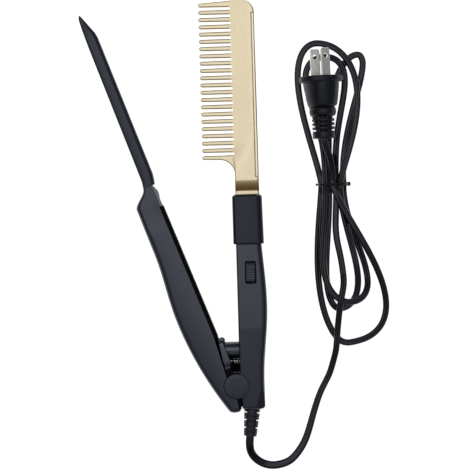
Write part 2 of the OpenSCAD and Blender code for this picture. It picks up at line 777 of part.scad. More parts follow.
module switch_rocker() {
    translate([0, rocker_y, axle_z])
        rotate([rock_angle, 0, 0])
            translate([0, -rocker_y, -axle_z])
                color([0.12, 0.13, 0.14]) {
                    difference() {
                        intersection() {
                            block([rocker_x - rocker_w / 2, rocker_x + rocker_w / 2],
                                [rocker_y - rocker_r, rocker_y + rocker_r], rocker_z);
                            rod_x([rocker_x - rocker_w, rocker_y, axle_z], 2 * rocker_r, 2 * rocker_w);
                        }
                        for (k = [0:groove_count - 1])
                            rod_x([rocker_x - rocker_w / 3,
                                rocker_y + (k - (groove_count - 1) / 2) * groove_pitch,
                                rocker_z[1] + 0.25], 0.9, rocker_w * 2 / 3);
                    }
                    rod_x([rocker_x - rocker_w / 2 - switch_wall, rocker_y, axle_z], axle_d,
                        rocker_w + 2 * switch_wall);
                }
}

// Cord entry
module cord_grip() {
    g = grip_block;
    color([0.3, 0.3, 0.32])
        difference() {
            block([g[0][0] + seat_gap, g[0][1] - seat_gap], g[1], [g[2][0] + seat_gap, g[2][1] - seat_gap]);
            // saddle that bites on the cord
            for (k = [0:2])
                rod_x([g[0][0] - 1, g[1][0] + 1.4 + 1.6 * k, g[2][1]], 1, 10);
        }
}

module cord_gland() {
    rib = gland_len / 9;
    color([0.13, 0.14, 0.15])
        gland_place()
            difference() {
                union() {
                    translate([0, 0, -gland_seat])
                        cylinder(d = gland_d, h = gland_seat + rib);
                    translate([0, 0, rib])
                        cylinder(d1 = gland_d, d2 = gland_end_d, h = gland_len - rib);
                    translate([0, 0, -gland_seat - gland_stub[1]])
                        cylinder(d = gland_stub[0], h = gland_stub[1] + 1);
                }
                // slots from above and below, and notches from the sides between them
                for (k = [0:3])
                    for (side = [0, 1])
                        rotate([0, 0, 180 * side])
                            translate([-gland_d / 2, 2.1, rib * (1.9 + 1.75 * k)])
                                cube([gland_d, gland_d, rib * 0.5]);
                for (k = [0:2])
                    for (side = [0, 1])
                        rotate([0, 0, 90 + 180 * side])
                            translate([-gland_d / 2, 3.1, rib * (1 + 3.5 * k / 1.4)])
                                cube([gland_d, gland_d, rib * 0.5]);
            }
}

// Guide post and return spring
module guide_post() {
    color([0.1, 0.1, 0.11]) {
        rod_x([post_end + 0.6, post_y, post_z], post_d, face_x + window_depth - post_end - 0.6);
        rod_x([post_end, post_y, post_z], post_d - 1.2, 1);
        rod_x([face_x, post_y, post_z], post_foot[0] - 2 * run_gap, window_depth + post_foot[1]);
    }
}

spring_turns = [spring_meet + 1.8, spring_seat - 1];
plate_way = [cos(open_angle), sin(open_angle), 0];
spring_rings = 8 * curls;
function curl_point(i) = let (a = -90 + 360 * i / 8)
    [spring_turns[0] + (spring_turns[1] - spring_turns[0]) * i / spring_rings,
        spring_y + spring_r * cos(a), spring_z + spring_r * sin(a)];
spring_foot = [spring_meet, spring_y, spring_z - spring_r];
spring_route = concat([spring_foot, spring_foot + plate_way * wire_d],
    [for (i = [0:spring_rings]) curl_point(i)],
    [[spring_seat - wire_d, spring_y, spring_z - spring_r], [spring_seat, spring_y, spring_z - spring_r]]);
spring_refs = concat([[0, 0, -1], [0, 0, -1]],
    [for (i = [0:spring_rings]) let (a = -90 + 360 * i / 8) [0, cos(a), sin(a)]],
    [[0, 0, -1], [0, 0, -1]]);
echo("least gap of the spring to itself", least_gap(spring_route, wire_d, 4 * wire_d));

module return_spring() {
    color("silver")
        tube(spring_route, wire_d, wire_d, 6, plate_way, [1, 0, 0], spring_refs);
}

// Press arm, turned open about the pivot
module arm_open() {
    rotate([0, 0, open_angle])
        children();
}

module arm_form() {
    tail = [[0, 2.3, 0.2, 1.5], [0.9, 0.8, 0, 0.5], [3, 0, 0, 0]];
    ys = concat([arm_tail_y, arm_tail_y + 0.5, 0, 10, 21],
        [for (k = [0:7]) arm_grip_y[0] + (arm_grip_y[1] - arm_grip_y[0]) * k / 7],
        [for (k = [0:5]) shoulder_y + (arm_len - shoulder_y) * k / 5]);
    function drop(y) = nose_z * nose_part(y);
    function back(y) = -arm_back_x(y) + (arm_back_x(y) + blade_x[0] - 0.6) * nose_part(y);
    loft(concat(
        [for (e = tail) let (y = -arm_tail + e[0])
            [y, round_ring(-arm_back_x(y) + e[1], arm_face_x(y) - e[2], e[3], body_t - e[3], 2, 1)]],
        [for (y = ys) [y, round_ring(back(y), arm_face_x(y), drop(y), body_t - drop(y),
            edge_r + (arm_nose_r - edge_r) * nose_part(y), 1)]]));
}

module post_way_cut(x0, x1) {
    for (y = post_way)
        rod_x([x0, y, post_z], 2 * post_way_r, x1 - x0);
    block([x0, x1], post_way, [post_z - post_way_r, post_z + post_way_r]);
}

module liner_plan(gap) {
    polygon([
        [arm_face_x(liner_y[0]) - liner_t, liner_y[0] - gap],
        [arm_face_x(liner_y[1]) - liner_t, liner_y[1]],
        [arm_face_x(liner_y[1]) + 5 * gap, liner_y[1]],
        [arm_face_x(liner_y[0]) + 5 * gap, liner_y[0] - gap]]);
}

module arm_cavity_outline() {
    steps = 6;
    ys = [for (k = [0:steps]) arm_cavity[0] + (arm_cavity[1] - arm_cavity[0]) * k / steps];
    polygon(concat([for (y = ys) [-arm_back_x(y) + wall, y]],
        [[arm_face_x(arm_cavity[1]) - liner_t - wall, arm_cavity[1]],
        [arm_face_x(arm_cavity[0]) - liner_t - wall, arm_cavity[0]]]));
}

// The whole arm before it is split into its two shells
module arm_solid() {
    difference() {
        union() {
            arm_form();
            rod_z([0, 0, mid_z - knuckle_t / 2], 2 * knuckle_r, knuckle_t);
        }
        // room for the handle's ears and the pin
        rod_z([0, 0, -1], 2 * pocket_r, mid_z - knuckle_t / 2 + 1);
        rod_z([0, 0, mid_z + knuckle_t / 2], 2 * pocket_r, mid_z);
        rod_z([0, 0, -1], pin_d + 2 * run_gap, body_t + 2);
        // seats of the liner, the tang and the guide collar
        translate([0, 0, -1])
            linear_extrude(body_t + 2)
                liner_plan(0.3);
        block([tang_in, arm_face + 1], [liner_y[1] - 0.01, arm_len + 1], [-1, body_t + 1]);
        block([tang_in - lug_in, 0], lug_y, [mid_z - lug_t / 2, mid_z + lug_t / 2]);
        plate_x([flange_x - flange_t, flange_x + 1], [flange_y[0] - seat_gap, flange_y[1] + seat_gap],
            [flange_z[0] - seat_gap, flange_z[1] + seat_gap], flange_r);
        post_way_cut(post_end - 0.7, arm_face + 1);
        // room inside, and the socket of the blade
        translate([0, 0, wall])
            linear_extrude(body_t - 2 * wall)
                arm_cavity_outline();
        block(shank_x, [shank_y, arm_len + 1], [mid_z - shank_t / 2, mid_z + shank_t / 2]);
        for (at = arm_screw_at)
            screw(at, run_gap);
    }
}

module arm_bottom() {
    arm_open()
        color([0.15, 0.16, 0.18])
            difference() {
                arm_solid();
                above_mid();
            }
}

module arm_top() {
    arm_open()
        color([0.18, 0.19, 0.21])
            difference() {
                arm_solid();
                below_mid();
            }
}

module arm_liner() {
    sunk = 1;
    arm_open()
        color([0.05, 0.05, 0.06])
            translate([0, 0, sunk])
                linear_extrude(body_t - 2 * sunk)
                    liner_plan(0);
}

module guide_collar() {
    arm_open()
        color([0.12, 0.12, 0.13]) {
            difference() {
                plate_x([flange_x - flange_t, flange_x], flange_y, flange_z, flange_r);
                post_way_cut(flange_x - flange_t - 1, flange_x + 1);
            }
            // rounded stop bead at the upper end
            difference() {
                rod_z([flange_x - 0.2, bead_y, flange_z[0] + flange_r], 2 * bead_r,
                    flange_z[1] - flange_z[0] - 2 * flange_r);
                post_way_cut(flange_x - flange_t - 1, flange_x + 4);
            }
        }
}

// Blade: two rails that straddle the teeth, joined at the root and at the tip
module blade_plan() {
    b = blade_x;
    polygon([[b[0] - 0.6, arm_len], [b[0] - 0.1, arm_len + 2.4], [b[0], arm_len + 5],
        [b[0] + 0.3, slot_y1 - 12], [b[0] + 0.6, slot_y1],
        [b[0] + 1.3, blade_end - 2.2], [b[0] + 1.9, blade_end],
        [b[0] + 2.6, blade_end - 0.3], [b[1] - 1.9, blade_end - 10], [b[1] - 0.5, blade_end - 14],
        [b[1], blade_end - 18], [b[1], arm_len + 3], [b[1] - 0.6, arm_len]]);
}

module blade_section() {
    h = blade_t / 2;
    b = blade_x;
    side = [[b[0] - 1, 0], [b[0] - 1, h - 1.8], [b[0] + 1, h], [b[1] - 2.7, h], [b[1], h - 2], [b[1], 0]];
    polygon(concat([for (p = side) [p[0], mid_z + p[1]]],
        [for (k = [len(side) - 1:-1:0]) [side[k][0], mid_z - side[k][1]]]));
}

module press_blade() {
    arm_open()
        color([0.14, 0.15, 0.17]) {
            difference() {
                intersection() {
                    linear_extrude(2 * body_t)
                        blade_plan();
                    translate([0, blade_end + 1, 0])
                        rotate([90, 0, 0])
                            linear_extrude(blade_end)
                                blade_section();
                }
                translate([0, 0, mid_z - slot_t / 2])
                    linear_extrude(slot_t)
                        polygon([[blade_x[0] - 2, arm_len + 2.9], [tang_in, arm_len + 2.9],
                            [blade_x[1] - 1.5, arm_len - 0.5], [blade_x[1] + 2, arm_len - 0.5],
                            [blade_x[1] + 2, slot_y1], [blade_x[0] - 2, slot_y1]]);
                // the inner part of the root leaves room for the tang
                block([tang_in, blade_x[1] + 1], [arm_len - 1, arm_len + 0.3], [0, body_t]);
            }
            block([shank_x[0] + seat_gap, shank_x[1] - seat_gap], [shank_y, arm_len + 0.5],
                [mid_z - shank_t / 2 + seat_gap, mid_z + shank_t / 2 - seat_gap]);
        }
}

module blade_tang() {
    arm_open()
        color([0.45, 0.46, 0.48]) {
            translate([0, 0, mid_z - blade_t / 2])
                linear_extrude(blade_t)
                    polygon([[tang_in, liner_y[1]], [tang_out - 0.8, liner_y[1]], [tang_out, liner_y[1] + 7],
                        [tang_out, arm_len - 1], [tang_in, arm_len]]);
            block([tang_in - lug_in, tang_in + 0.5], [lug_y[0] + seat_gap, lug_y[1] - seat_gap],
                [mid_z - lug_t / 2 + seat_gap, mid_z + lug_t / 2 - seat_gap]);
        }
}

module arm_screws() {
    arm_open()
        color("silver")
            for (at = arm_screw_at)
                screw(at);
}

// Cord
module cord_lead() {
    route = concat([gland_tip], lead_route, [hank_start]);
    color([0.09, 0.09, 0.1])
        cord_tube(route, 8, [-sin(gland_lean), -cos(gland_lean), 0], [0, 1, 0]);
}

module cord_hank() {
    color([0.09, 0.09, 0.1])
        cord_tube(hank_route, 6, [0, 1, 0], [0, 1, 0]);
}

module cord_tail() {
    route = concat([hank_stop], tail_route, [plug_exit]);
    color([0.09, 0.09, 0.1])
        cord_tube(route, 8, [0, 1, 0], [-sin(plug_turn), cos(plug_turn), 0]);
}

// Wire tie round the waist of the hank, with its twisted end at the right
module cord_tie() {
    tie_w = 2;
    tie_t = 0.8;
    low = tie_z - cord_t / 2 - 0.6;
    half = 1.5 * slot_step + cord_w / 2 + 0.3;
    function outline(g) = let (low_g = g > 0 ? 0 : low)
        [[-half - g, low_g], [half + g, low_g], [half + g, S1 + 2.1], [half - 2.2 + 0.8 * g, S2 + 2.1],
        [1.5, S3 + cord_t / 2 + 0.3 + g], [-1.5, S3 + cord_t / 2 + 0.3 + g],
        [-half + 2.2 - 0.8 * g, S2 + 2.1], [-half - g, S1 + 2.1]];
    color([0.06, 0.06, 0.07]) {
        translate([bundle_x, tie_y + tie_w / 2, 0])
            rotate([90, 0, 0])
                linear_extrude(tie_w)
                    difference() {
                        polygon(outline(tie_t));
                        polygon(outline(0));
                    }
        rod_x([bundle_x + half + tie_t - 0.3, tie_y, S1 - 0.4], 1.8, 2.9);
    }
}

// Plug
module plug_place() {
    translate(plug_at)
        rotate([0, 0, plug_turn])
            rotate([0, -plug_roll, 0])
                children();
}

module prongs(gap, root) {
    for (side = [-1, 1])
        translate([side * prong_gap / 2, 0, 0])
            difference() {
                block([-prong_t / 2 - gap, prong_t / 2 + gap], [-root, prong_len],
                    [-prong_w / 2 - gap, prong_w / 2 + gap]);
                // bevelled corners at the tip, and the round hole
                for (s = [-1, 1])
                    translate([-3, prong_len, s * prong_w / 2])
                        rotate([45, 0, 0])
                            cube([6, 1.6, 1.6]);
                rod_x([-3, prong_len - 5, 0], prong_hole_d, 6);
            }
}

// An oval ring of the strain relief
module fin(y, thick) {
    loft([for (at = [y, y + thick]) [at, ellipse_ring(fin_d[0] / 2, fin_d[1] / 2)]]);
}

module plug_body() {
    relief_y = -guard_t - plug_body_len - relief_len;
    color([0.1, 0.1, 0.11])
        plug_place()
            difference() {
                union() {
                    // finger guard with a softened rim
                    rod_y([0, -guard_t, 0], guard_d, guard_t - 0.6);
                    translate([0, -0.6, 0])
                        rotate([-90, 0, 0])
                            cylinder(d1 = guard_d, d2 = guard_d - 1.2, h = 0.6);
                    loft([for (k = [len(plug_stations) - 1:-1:0]) let (s = plug_stations[k])
                        [-guard_t + 0.1 - s[0], ellipse_ring(s[1], s[2])]]);
                    // strain relief: a core with a thick ring, three fins and an end block
                    rod_y([0, relief_y, 0], relief_d, relief_len + 1);
                    loft([for (k = [0:6]) let (a = 30 * k, swell = ring_bulge * sin(a))
                        [-guard_t - plug_body_len - ring_len + ring_len * (1 - cos(a)) / 2,
                            ellipse_ring(7.4 + swell, 6.6 + swell)]]);
                    for (k = [0:2])
                        fin(relief_y + end_block_len + fin_gap + (fin_t + fin_gap) * k, fin_t);
                    fin(relief_y, end_block_len);
                }
                prongs(0, prong_root);
            }
}

module plug_blades() {
    color("gold")
        plug_place()
            prongs(0, prong_root);
}

handle_bottom();
handle_top();
heat_collar();
comb_head();
spine_strip();
heater_core();
heater_leads();
circuit_board();
thermal_fuse();
switch_body();
switch_rocker();
supply_leads();
cord_grip();
cord_gland();
pivot_pin();
pivot_cap_top();
pivot_cap_bottom();
guide_post();
return_spring();
handle_screws();
arm_bottom();
arm_top();
arm_liner();
press_blade();
blade_tang();
guide_collar();
arm_screws();
cord_lead();
cord_hank();
cord_tail();
cord_tie();
plug_body();
plug_blades();
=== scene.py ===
# %% [markdown]
# # A hot comb with a sprung press arm
# The object is an electric hot comb that lies open on a pale ground. Its working model, with every solid
# and hinge, is already made and packed. This notebook dresses it: each solid that shows gets a finer
# surface in exactly the same place, and each material is named for the real one. We start by loading the
# imported model, because everything that follows is measured from it.

import bmesh
import bpy
import numpy as np
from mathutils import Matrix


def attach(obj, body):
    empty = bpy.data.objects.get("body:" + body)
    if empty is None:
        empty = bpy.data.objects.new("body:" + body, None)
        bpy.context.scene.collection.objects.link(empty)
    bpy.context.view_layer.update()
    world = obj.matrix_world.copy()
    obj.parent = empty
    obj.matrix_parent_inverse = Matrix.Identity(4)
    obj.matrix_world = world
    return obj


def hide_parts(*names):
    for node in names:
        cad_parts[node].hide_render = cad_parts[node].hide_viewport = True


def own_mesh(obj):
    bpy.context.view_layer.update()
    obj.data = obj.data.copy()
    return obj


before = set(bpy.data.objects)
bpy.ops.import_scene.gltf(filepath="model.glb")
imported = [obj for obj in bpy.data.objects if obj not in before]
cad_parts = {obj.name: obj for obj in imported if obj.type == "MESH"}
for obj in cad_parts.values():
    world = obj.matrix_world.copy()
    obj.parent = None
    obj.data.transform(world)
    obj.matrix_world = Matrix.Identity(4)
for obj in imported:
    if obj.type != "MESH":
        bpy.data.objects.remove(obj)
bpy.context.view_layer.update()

# %% [markdown]
# ## The camera
# The photograph looks straight down on the comb, which lies almost upright in it, turned by a degree or
# two. A long lens from high above gives the same flat view. It could be an orthographic camera, but a real
# lens shows a little of the sides near the picture's edges, as the photograph does. The lens follows from
# the width of ground that one picture width has to show.

# %% Camera above the comb
MM = 0.001                      # one millimetre in metres
MID = 11.0                      # height of the parting plane of both shells
VIEW_CENTRE = (1.8, 96.2)       # the point under the middle of the picture
VIEW_WIDTH = 300.8              # what the picture's width covers at the parting plane
VIEW_TURN = np.radians(1.7)     # how far the comb is turned in the picture
CAMERA_HEIGHT = 1500.0

camera_data = bpy.data.cameras.new("camera")
camera = bpy.data.objects.new("camera", camera_data)
bpy.context.scene.collection.objects.link(camera)
camera_data.sensor_width = 36.0
camera_data.lens = camera_data.sensor_width * CAMERA_HEIGHT / VIEW_WIDTH
camera_data.clip_end = 30.0
camera.location = (VIEW_CENTRE[0] * MM, VIEW_CENTRE[1] * MM, (MID + CAMERA_HEIGHT) * MM)
camera.rotation_euler = (0.0, 0.0, -VIEW_TURN)
bpy.context.scene.camera = camera
print("lens", round(camera_data.lens, 1), "mm")

# %% [markdown]
# ## Surfaces from rings
# Most pieces here are a row of rings: a section that changes as it travels along a path. A ring is a row
# of points, rings are stacked in one array, and the faces between neighbouring rings come from the array's
# indices, with one face over each end. Working in whole arrays keeps the shape readable as a formula, and
# a closed surface can then be cut and joined like a solid.

# %% Helpers for closed surfaces
CUT, JOIN, KEEP = "DIFFERENCE", "UNION", "INTERSECT"


def skin(rings):
    """Points and faces of a closed surface: quads join the rings, and one face closes each end."""
    count, around, _ = rings.shape
    index = np.arange(count * around).reshape(count, around)
    beside = np.roll(index, -1, axis=1)
    quads = np.stack([index[:-1], index[1:], beside[1:], beside[:-1]], axis=-1).reshape(-1, 4)
    return rings.reshape(-1, 3), quads.tolist() + [index[0].tolist(), index[-1][::-1].tolist()]


def solid(name, *surfaces):
    """One object from closed surfaces in millimetres, each an array of rings, with faces turned outwards."""
    points, faces, start = [], [], 0
    for rings in surfaces:
        own_points, own_faces = skin(np.asarray(rings, float))
        points.append(own_points)
        faces += [[corner + start for corner in face] for face in own_faces]
        start += len(own_points)
    mesh = bpy.data.meshes.new(name)
    mesh.from_pydata((np.concatenate(points) * MM).tolist(), [], faces)
    shape = bmesh.new()
    shape.from_mesh(mesh)
    bmesh.ops.recalc_face_normals(shape, faces=shape.faces)
    shape.to_mesh(mesh)
    shape.free()
    made = bpy.data.objects.new(name, mesh)
    bpy.context.scene.collection.objects.link(made)
    return made


def carve(body, steps, place):
    """Shapes a body in steps. Each step is CUT, JOIN or KEEP (only what lies inside) and one or more closed
    surfaces that don't meet each other. The tools are moved by place and removed afterwards."""
    tools = [solid("tool", *[place(rings) for rings in surfaces]) for _, *surfaces in steps]
    for (how, *_), tool in zip(steps, tools):
        step = body.modifiers.new(how.lower(), "BOOLEAN")
        step.operation, step.solver, step.object = how, "MANIFOLD", tool
    bpy.context.view_layer.update()
    shaped = body.evaluated_get(bpy.context.evaluated_depsgraph_get())
    mesh = bpy.data.meshes.new_from_object(shaped)
    body.modifiers.clear()
    body.data = mesh
    mesh.name = body.name
    for tool in tools:
        bpy.data.objects.remove(tool)


def piece(name, body, slot, nodes, *surfaces, steps=(), place=np.asarray, crease=33.0, even=False):
    """One finished piece: closed surfaces, moved by place and carved in steps, smooth up to the crease angle.
    It gets the slot's material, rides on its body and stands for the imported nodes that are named."""
    made = solid(name, *[place(rings) for rings in surfaces])
    if steps:
        carve(made, steps, place)
    mesh = made.data
    mesh.shade_smooth()
    mesh.set_sharp_from_angle(angle=np.radians(crease))
    mesh.materials.clear()
    mesh.materials.append(FINISH[slot])
    if even:
        made.modifiers.new("even shading", "WEIGHTED_NORMAL").keep_sharp = True
    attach(made, body)
    if nodes:
        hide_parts(*nodes.split())
    print(name, "has", len(mesh.polygons), "faces")
    return made


def ease(share):
    """A smooth step from 0 to 1: half of one minus the cosine of 180 degrees times the share."""
    return (1 - np.cos(np.pi * np.clip(share, 0, 1))) / 2

# %% [markdown]
# ## Adding shader nodes
# Every material below starts from a Principled shader whose fixed values are set on its own sockets.
# Patterns hang on Object coordinates, which are metres here, so a grain of half a millimetre is half a
# millimetre on every piece. One function adds a node, and one function draws the fine grain that moulding,
# brushing or drawing leaves, because all of them are the same noise at another size and stretch.

# %% Colour and node helpers
def linear(code):
    """sRGB hex to linear: c / 12.92 up to 0.04045, and ((c + 0.055) / 1.055) ** 2.4 above."""
    channel = np.array([int(code[i:i + 2], 16) for i in (1, 3, 5)]) / 255
    flat = np.where(channel <= 0.04045, channel / 12.92, ((channel + 0.055) / 1.055) ** 2.4)
    return (*flat.tolist(), 1.0)


def add(tree, kind, inputs=None, **settings):
    """Adds one node. An input given as a socket is linked, and any other value is set."""
    made = tree.nodes.new(kind)
    for name, value in settings.items():
        setattr(made, name, value)
    for name, value in (inputs or {}).items():
        if isinstance(value, bpy.types.NodeSocket):
            tree.links.new(value, made.inputs[name])
        else:
            made.inputs[name].default_value = value
    return made


def surface(name, metallic=0.0, **sockets):
    """A material with its Principled shader and the Object coordinates that its patterns read."""
    material = bpy.data.materials.new(name)
    material.use_nodes = True
    tree = material.node_tree
    tree.nodes.clear()
    shader = add(tree, "ShaderNodeBsdfPrincipled", {"Metallic": metallic, **sockets})
    add(tree, "ShaderNodeOutputMaterial", {"Surface": shader.outputs["BSDF"]})
    place = add(tree, "ShaderNodeTexCoord").outputs["Object"]
    return material, tree, shader, place


def grained(tree, shader, place, size, lift, rough, tones, stretch=(1, 1, 1), patch=14.0):
    """Grain of a given size and lift in millimetres. rough and tones are pairs that it sways between.
    The grain lifts the surface, and patches of patch millimetres sway the roughness and the colour."""
    along = add(tree, "ShaderNodeMapping", {"Vector": place, "Scale": stretch}).outputs["Vector"]
    fine = add(tree, "ShaderNodeTexNoise", {"Vector": along, "Scale": 1 / (size * MM), "Detail": 2.0})
    broad = add(tree, "ShaderNodeTexNoise", {"Vector": place, "Scale": 1 / (patch * MM), "Detail": 3.0})
    both = add(tree, "ShaderNodeMath", {0: fine.outputs["Fac"], 1: broad.outputs["Fac"]}, operation="ADD")
    sway = add(tree, "ShaderNodeMapRange", {"Value": both.outputs["Value"], "From Min": 0.7, "From Max": 1.3,
                                            "To Min": rough[0], "To Max": rough[1]})
    tone = add(tree, "ShaderNodeMix", {0: broad.outputs["Fac"], 6: linear(tones[0]), 7: linear(tones[1])},
               data_type="RGBA")
    bump = add(tree, "ShaderNodeBump", {"Height": fine.outputs["Fac"], "Distance": lift * MM,
                                        "Strength": 1.0})
    tree.links.new(sway.outputs["Result"], shader.inputs["Roughness"])
    tree.links.new(tone.outputs[2], shader.inputs["Base Color"])
    tree.links.new(bump.outputs["Normal"], shader.inputs["Normal"])
    return tone


FINISH = {}

# %% [markdown]
# ## Black plastics and rubbers
# The shells are injection-moulded ABS from a finely spark-eroded mould: a soft satin that shows broad
# gradients and no sharp reflections. The collar is a heat-resistant resin, a little bluer. The true grain
# is about 0.1 mm, too fine for a picture in which a pixel is 0.64 mm, so it is drawn at 0.8 mm. Rubber and
# PVC are darker and, on the cord, glossier, which gives the long thin highlights on the loops.

# %% Moulded parts
WHITE, COOL = "#FFFFFF", "#E7EEFF"       # carbon black reads a little blue in gloss
PLASTICS = [
    # slot, name, grain size, lift, roughness, tones, refraction, colour of its gloss
    ("handle_shell", "ABS_satin_handle", 0.8, 0.006, (0.20, 0.25), ("#191D27", "#1C202B"), 1.56, COOL),
    ("arm_shell", "ABS_satin_arm", 0.8, 0.006, (0.20, 0.25), ("#191E27", "#1C212B"), 1.56, COOL),
    ("collar_resin", "PPS_resin_collar", 0.9, 0.006, (0.30, 0.38), ("#11141D", "#141721"), 1.42, COOL),
    ("rocker", "ABS_rocker", 0.7, 0.006, (0.36, 0.44), ("#3C424F", "#424857"), 1.56, COOL),
    ("cap", "ABS_pivot_cap", 0.8, 0.006, (0.30, 0.36), ("#191D26", "#1C202A"), 1.52, COOL),
    ("post", "POM_guide_post", 0.7, 0.004, (0.20, 0.26), ("#0E1118", "#12151D"), 1.8, COOL),
    ("inner_plastic", "PBT_inner_housing", 0.8, 0.010, (0.40, 0.50), ("#3A3A3C", "#424245"), 1.5, WHITE),
    ("liner", "silicone_liner", 0.9, 0.008, (0.50, 0.60), ("#07070A", "#0A0A0E"), 1.16, WHITE),
    ("gland_rubber", "TPE_gland", 0.8, 0.008, (0.28, 0.38), ("#12151B", "#15181F"), 1.5, COOL),
    ("cord_jacket", "PVC_cord_jacket", 0.9, 0.004, (0.17, 0.23), ("#08080C", "#0B0B10"), 1.43, COOL),
    ("plug_jacket", "PVC_moulded_plug", 0.9, 0.006, (0.36, 0.46), ("#0C0D12", "#0F1016"), 1.39, COOL),
    ("tie", "PVC_wire_tie", 0.7, 0.004, (0.32, 0.42), ("#07070A", "#0A0A0D"), 1.35, WHITE),
    ("red_wire", "silicone_wire_red", 0.7, 0.006, (0.40, 0.50), ("#8E1D1A", "#9C2420"), 1.5, WHITE),
    ("blue_wire", "PVC_wire_blue", 0.7, 0.006, (0.35, 0.45), ("#27408B", "#2F4A99"), 1.5, WHITE),
    ("board", "FR4_circuit_board", 0.9, 0.004, (0.30, 0.42), ("#1F5E38", "#27693F"), 1.5, WHITE),
    ("ceramic", "PTC_ceramic_heater", 0.8, 0.015, (0.60, 0.75), ("#BFB79E", "#C9C2AB"), 1.5, WHITE),
]
for slot, name, size, lift, rough, tones, refraction, gloss in PLASTICS:
    FINISH[slot], tree, shader, place = surface(name, IOR=refraction, **{"Specular Tint": linear(gloss)})
    grained(tree, shader, place, size, lift, rough, tones)
print(len(FINISH), "moulded finishes")

# %% [markdown]
# ## Metals
# The comb is cast aluminium, plated in pale champagne gold and polished along its length. Over the slope
# behind the collar a dark brown band is painted into the gold as shade, where the slope turns away from the
# lamp, and it fades into the gold further up; right at the collar the plating is left unshaded. The strip in
# the back is the same plating, brighter and in a groove that has browned. The press blade is aluminium under
# a dark coating, brushed lengthwise. Steel and the plug's blades are plated and carry fine drawing lines. A
# metal keeps its default IOR, and its colour is what it reflects.

# %% Metal finishes
METALS = [
    # slot, name, grain size, lift, roughness, tones, stretch
    ("comb_metal", "plated_aluminium_champagne", 0.7, 0.001, (0.26, 0.32), ("#C4B79B", "#CBBFA4"),
     (1, 0.06, 1)),
    ("strip_metal", "plated_strip_bright", 0.7, 0.001, (0.20, 0.26), ("#CDC2A9", "#D4CAB4"), (1, 0.05, 1)),
    ("tang_metal", "stainless_steel_lip", 0.7, 0.001, (0.30, 0.38), ("#585D64", "#666B72"), (1, 1, 0.1)),
    ("steel", "zinc_plated_steel", 0.7, 0.001, (0.28, 0.36), ("#9A9EA3", "#A8ACB0"), (1, 1, 0.2)),
    ("spring_steel", "spring_steel_bright", 0.6, 0.001, (0.20, 0.26), ("#F2F4F6", "#F8F9FA"), (0.3, 1, 1)),
    ("prong_brass", "nickel_plated_brass", 0.7, 0.001, (0.42, 0.50), ("#ECEBE7", "#F4F3F0"), (1, 0.1, 1)),
]
PARTS = {}
for slot, name, size, lift, rough, tones, stretch in METALS:
    FINISH[slot], tree, shader, place = surface(name, metallic=1.0)
    tone = grained(tree, shader, place, size, lift, rough, tones, stretch, patch=30.0)
    PARTS[slot] = tone, tree, shader, place
print("metals:", sorted(PARTS))

# %% [markdown]
# The neck's painted shade is a colour ramp along the comb. It reads the height along Y of Object coordinates,
# which is the distance from the pivot, and multiplies dark brown into the plating colour over the slope
# behind the collar, where shade falls, leaving the band at the collar and the gold beyond it as they are.
# Painting it on the mesh would work as well, but a ramp of three stops is exact and can be moved by one
# number.

# %% Painted shade on the neck's slope
NECK_START = 121.9
UNSHADED_BAND = 2.4
NECK_SHADE_END = 9.2
tone, tree, shader, place = PARTS["comb_metal"]
axes = add(tree, "ShaderNodeSeparateXYZ", {"Vector": place})
along = add(tree, "ShaderNodeMapRange", {"Value": axes.outputs["Y"], "From Min": NECK_START * MM,
                                         "From Max": (NECK_START + NECK_SHADE_END) * MM})
ramp = add(tree, "ShaderNodeValToRGB", {"Fac": along.outputs["Result"]})
# Stops of the painted shade: none at the collar, dark brown where the slope begins, fading back to the gold.
band = ramp.color_ramp.elements
band[0].position, band[0].color = (UNSHADED_BAND - 0.2) / NECK_SHADE_END, linear("#FFFFFF")
band[1].position, band[1].color = 1.0, linear("#FFFFFF")
for position, code in ((UNSHADED_BAND / NECK_SHADE_END, "#75603F"), (0.38, "#8F7754"), (0.75, "#D9C7A8")):
    stop = band.new(position)
    stop.color = linear(code)
painted_neck_shade = add(tree, "ShaderNodeMix", {0: 1.0, 6: tone.outputs[2], 7: ramp.outputs["Color"]},
             data_type="RGBA", blend_type="MULTIPLY")
tree.links.new(painted_neck_shade.outputs[2], shader.inputs["Base Color"])

FINISH["blade_coat"], tree, shader, place = surface("coated_aluminium_blade", IOR=1.5,
                                                    **{"Specular Tint": linear(COOL)})
grained(tree, shader, place, 0.7, 0.002, (0.28, 0.34), ("#171B25", "#1B1F2A"), (1, 0.06, 1), patch=30.0)
# How far the painted shade on the neck reaches from the collar.
print("painted neck shade runs over", NECK_SHADE_END, "mm from the collar")

# %% [markdown]
# ## The cord
# The cord is a flat two-core flex, put up as a hank: it leaves the gland, swings under the handle's tail,
# runs up along the right, makes six half turns through a wire tie, and ends in the plug that lies on it. A
# curve with a bevel could draw it, but a flex isn't round, so its section is carried along the route as
# rings. The route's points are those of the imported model. The half turns are lobes, each a closed formula
# of one angle: the lobe rises from the tie and returns to it, bulging right and left on its way.

# %% Route of the cord
CORD_W, CORD_T = 4.2, 3.5
SLOT_STEP, LAYER = CORD_W + 0.5, CORD_T + 0.45
LOW_Z = CORD_T / 2 + 0.1
TIE_Y, TIE_Z, BUNDLE_X = 127.0, LOW_Z + 0.95, 65.45
L1, L2, L3 = LOW_Z, LOW_Z + LAYER, LOW_Z + 2 * LAYER
S1, S2, S3 = TIE_Z, TIE_Z + LAYER, TIE_Z + LAYER + 1.85
GLAND_AT, GLAND_LEAN, GLAND_LEN = np.array([9.6, -15.1, MID]), np.radians(6.2), 17.6
gland_way = np.array([-np.sin(GLAND_LEAN), -np.cos(GLAND_LEAN), 0.0])
gland_tip = GLAND_AT + GLAND_LEN * gland_way
PLUG_AT = np.array([59.5, 195.7, LOW_Z + CORD_T / 2 + 13.9 + 0.15])
PLUG_TURN, PLUG_LEN = np.radians(1.3), 39.7
plug_way = np.array([-np.sin(PLUG_TURN), np.cos(PLUG_TURN), 0.0])
plug_exit = PLUG_AT - PLUG_LEN * plug_way

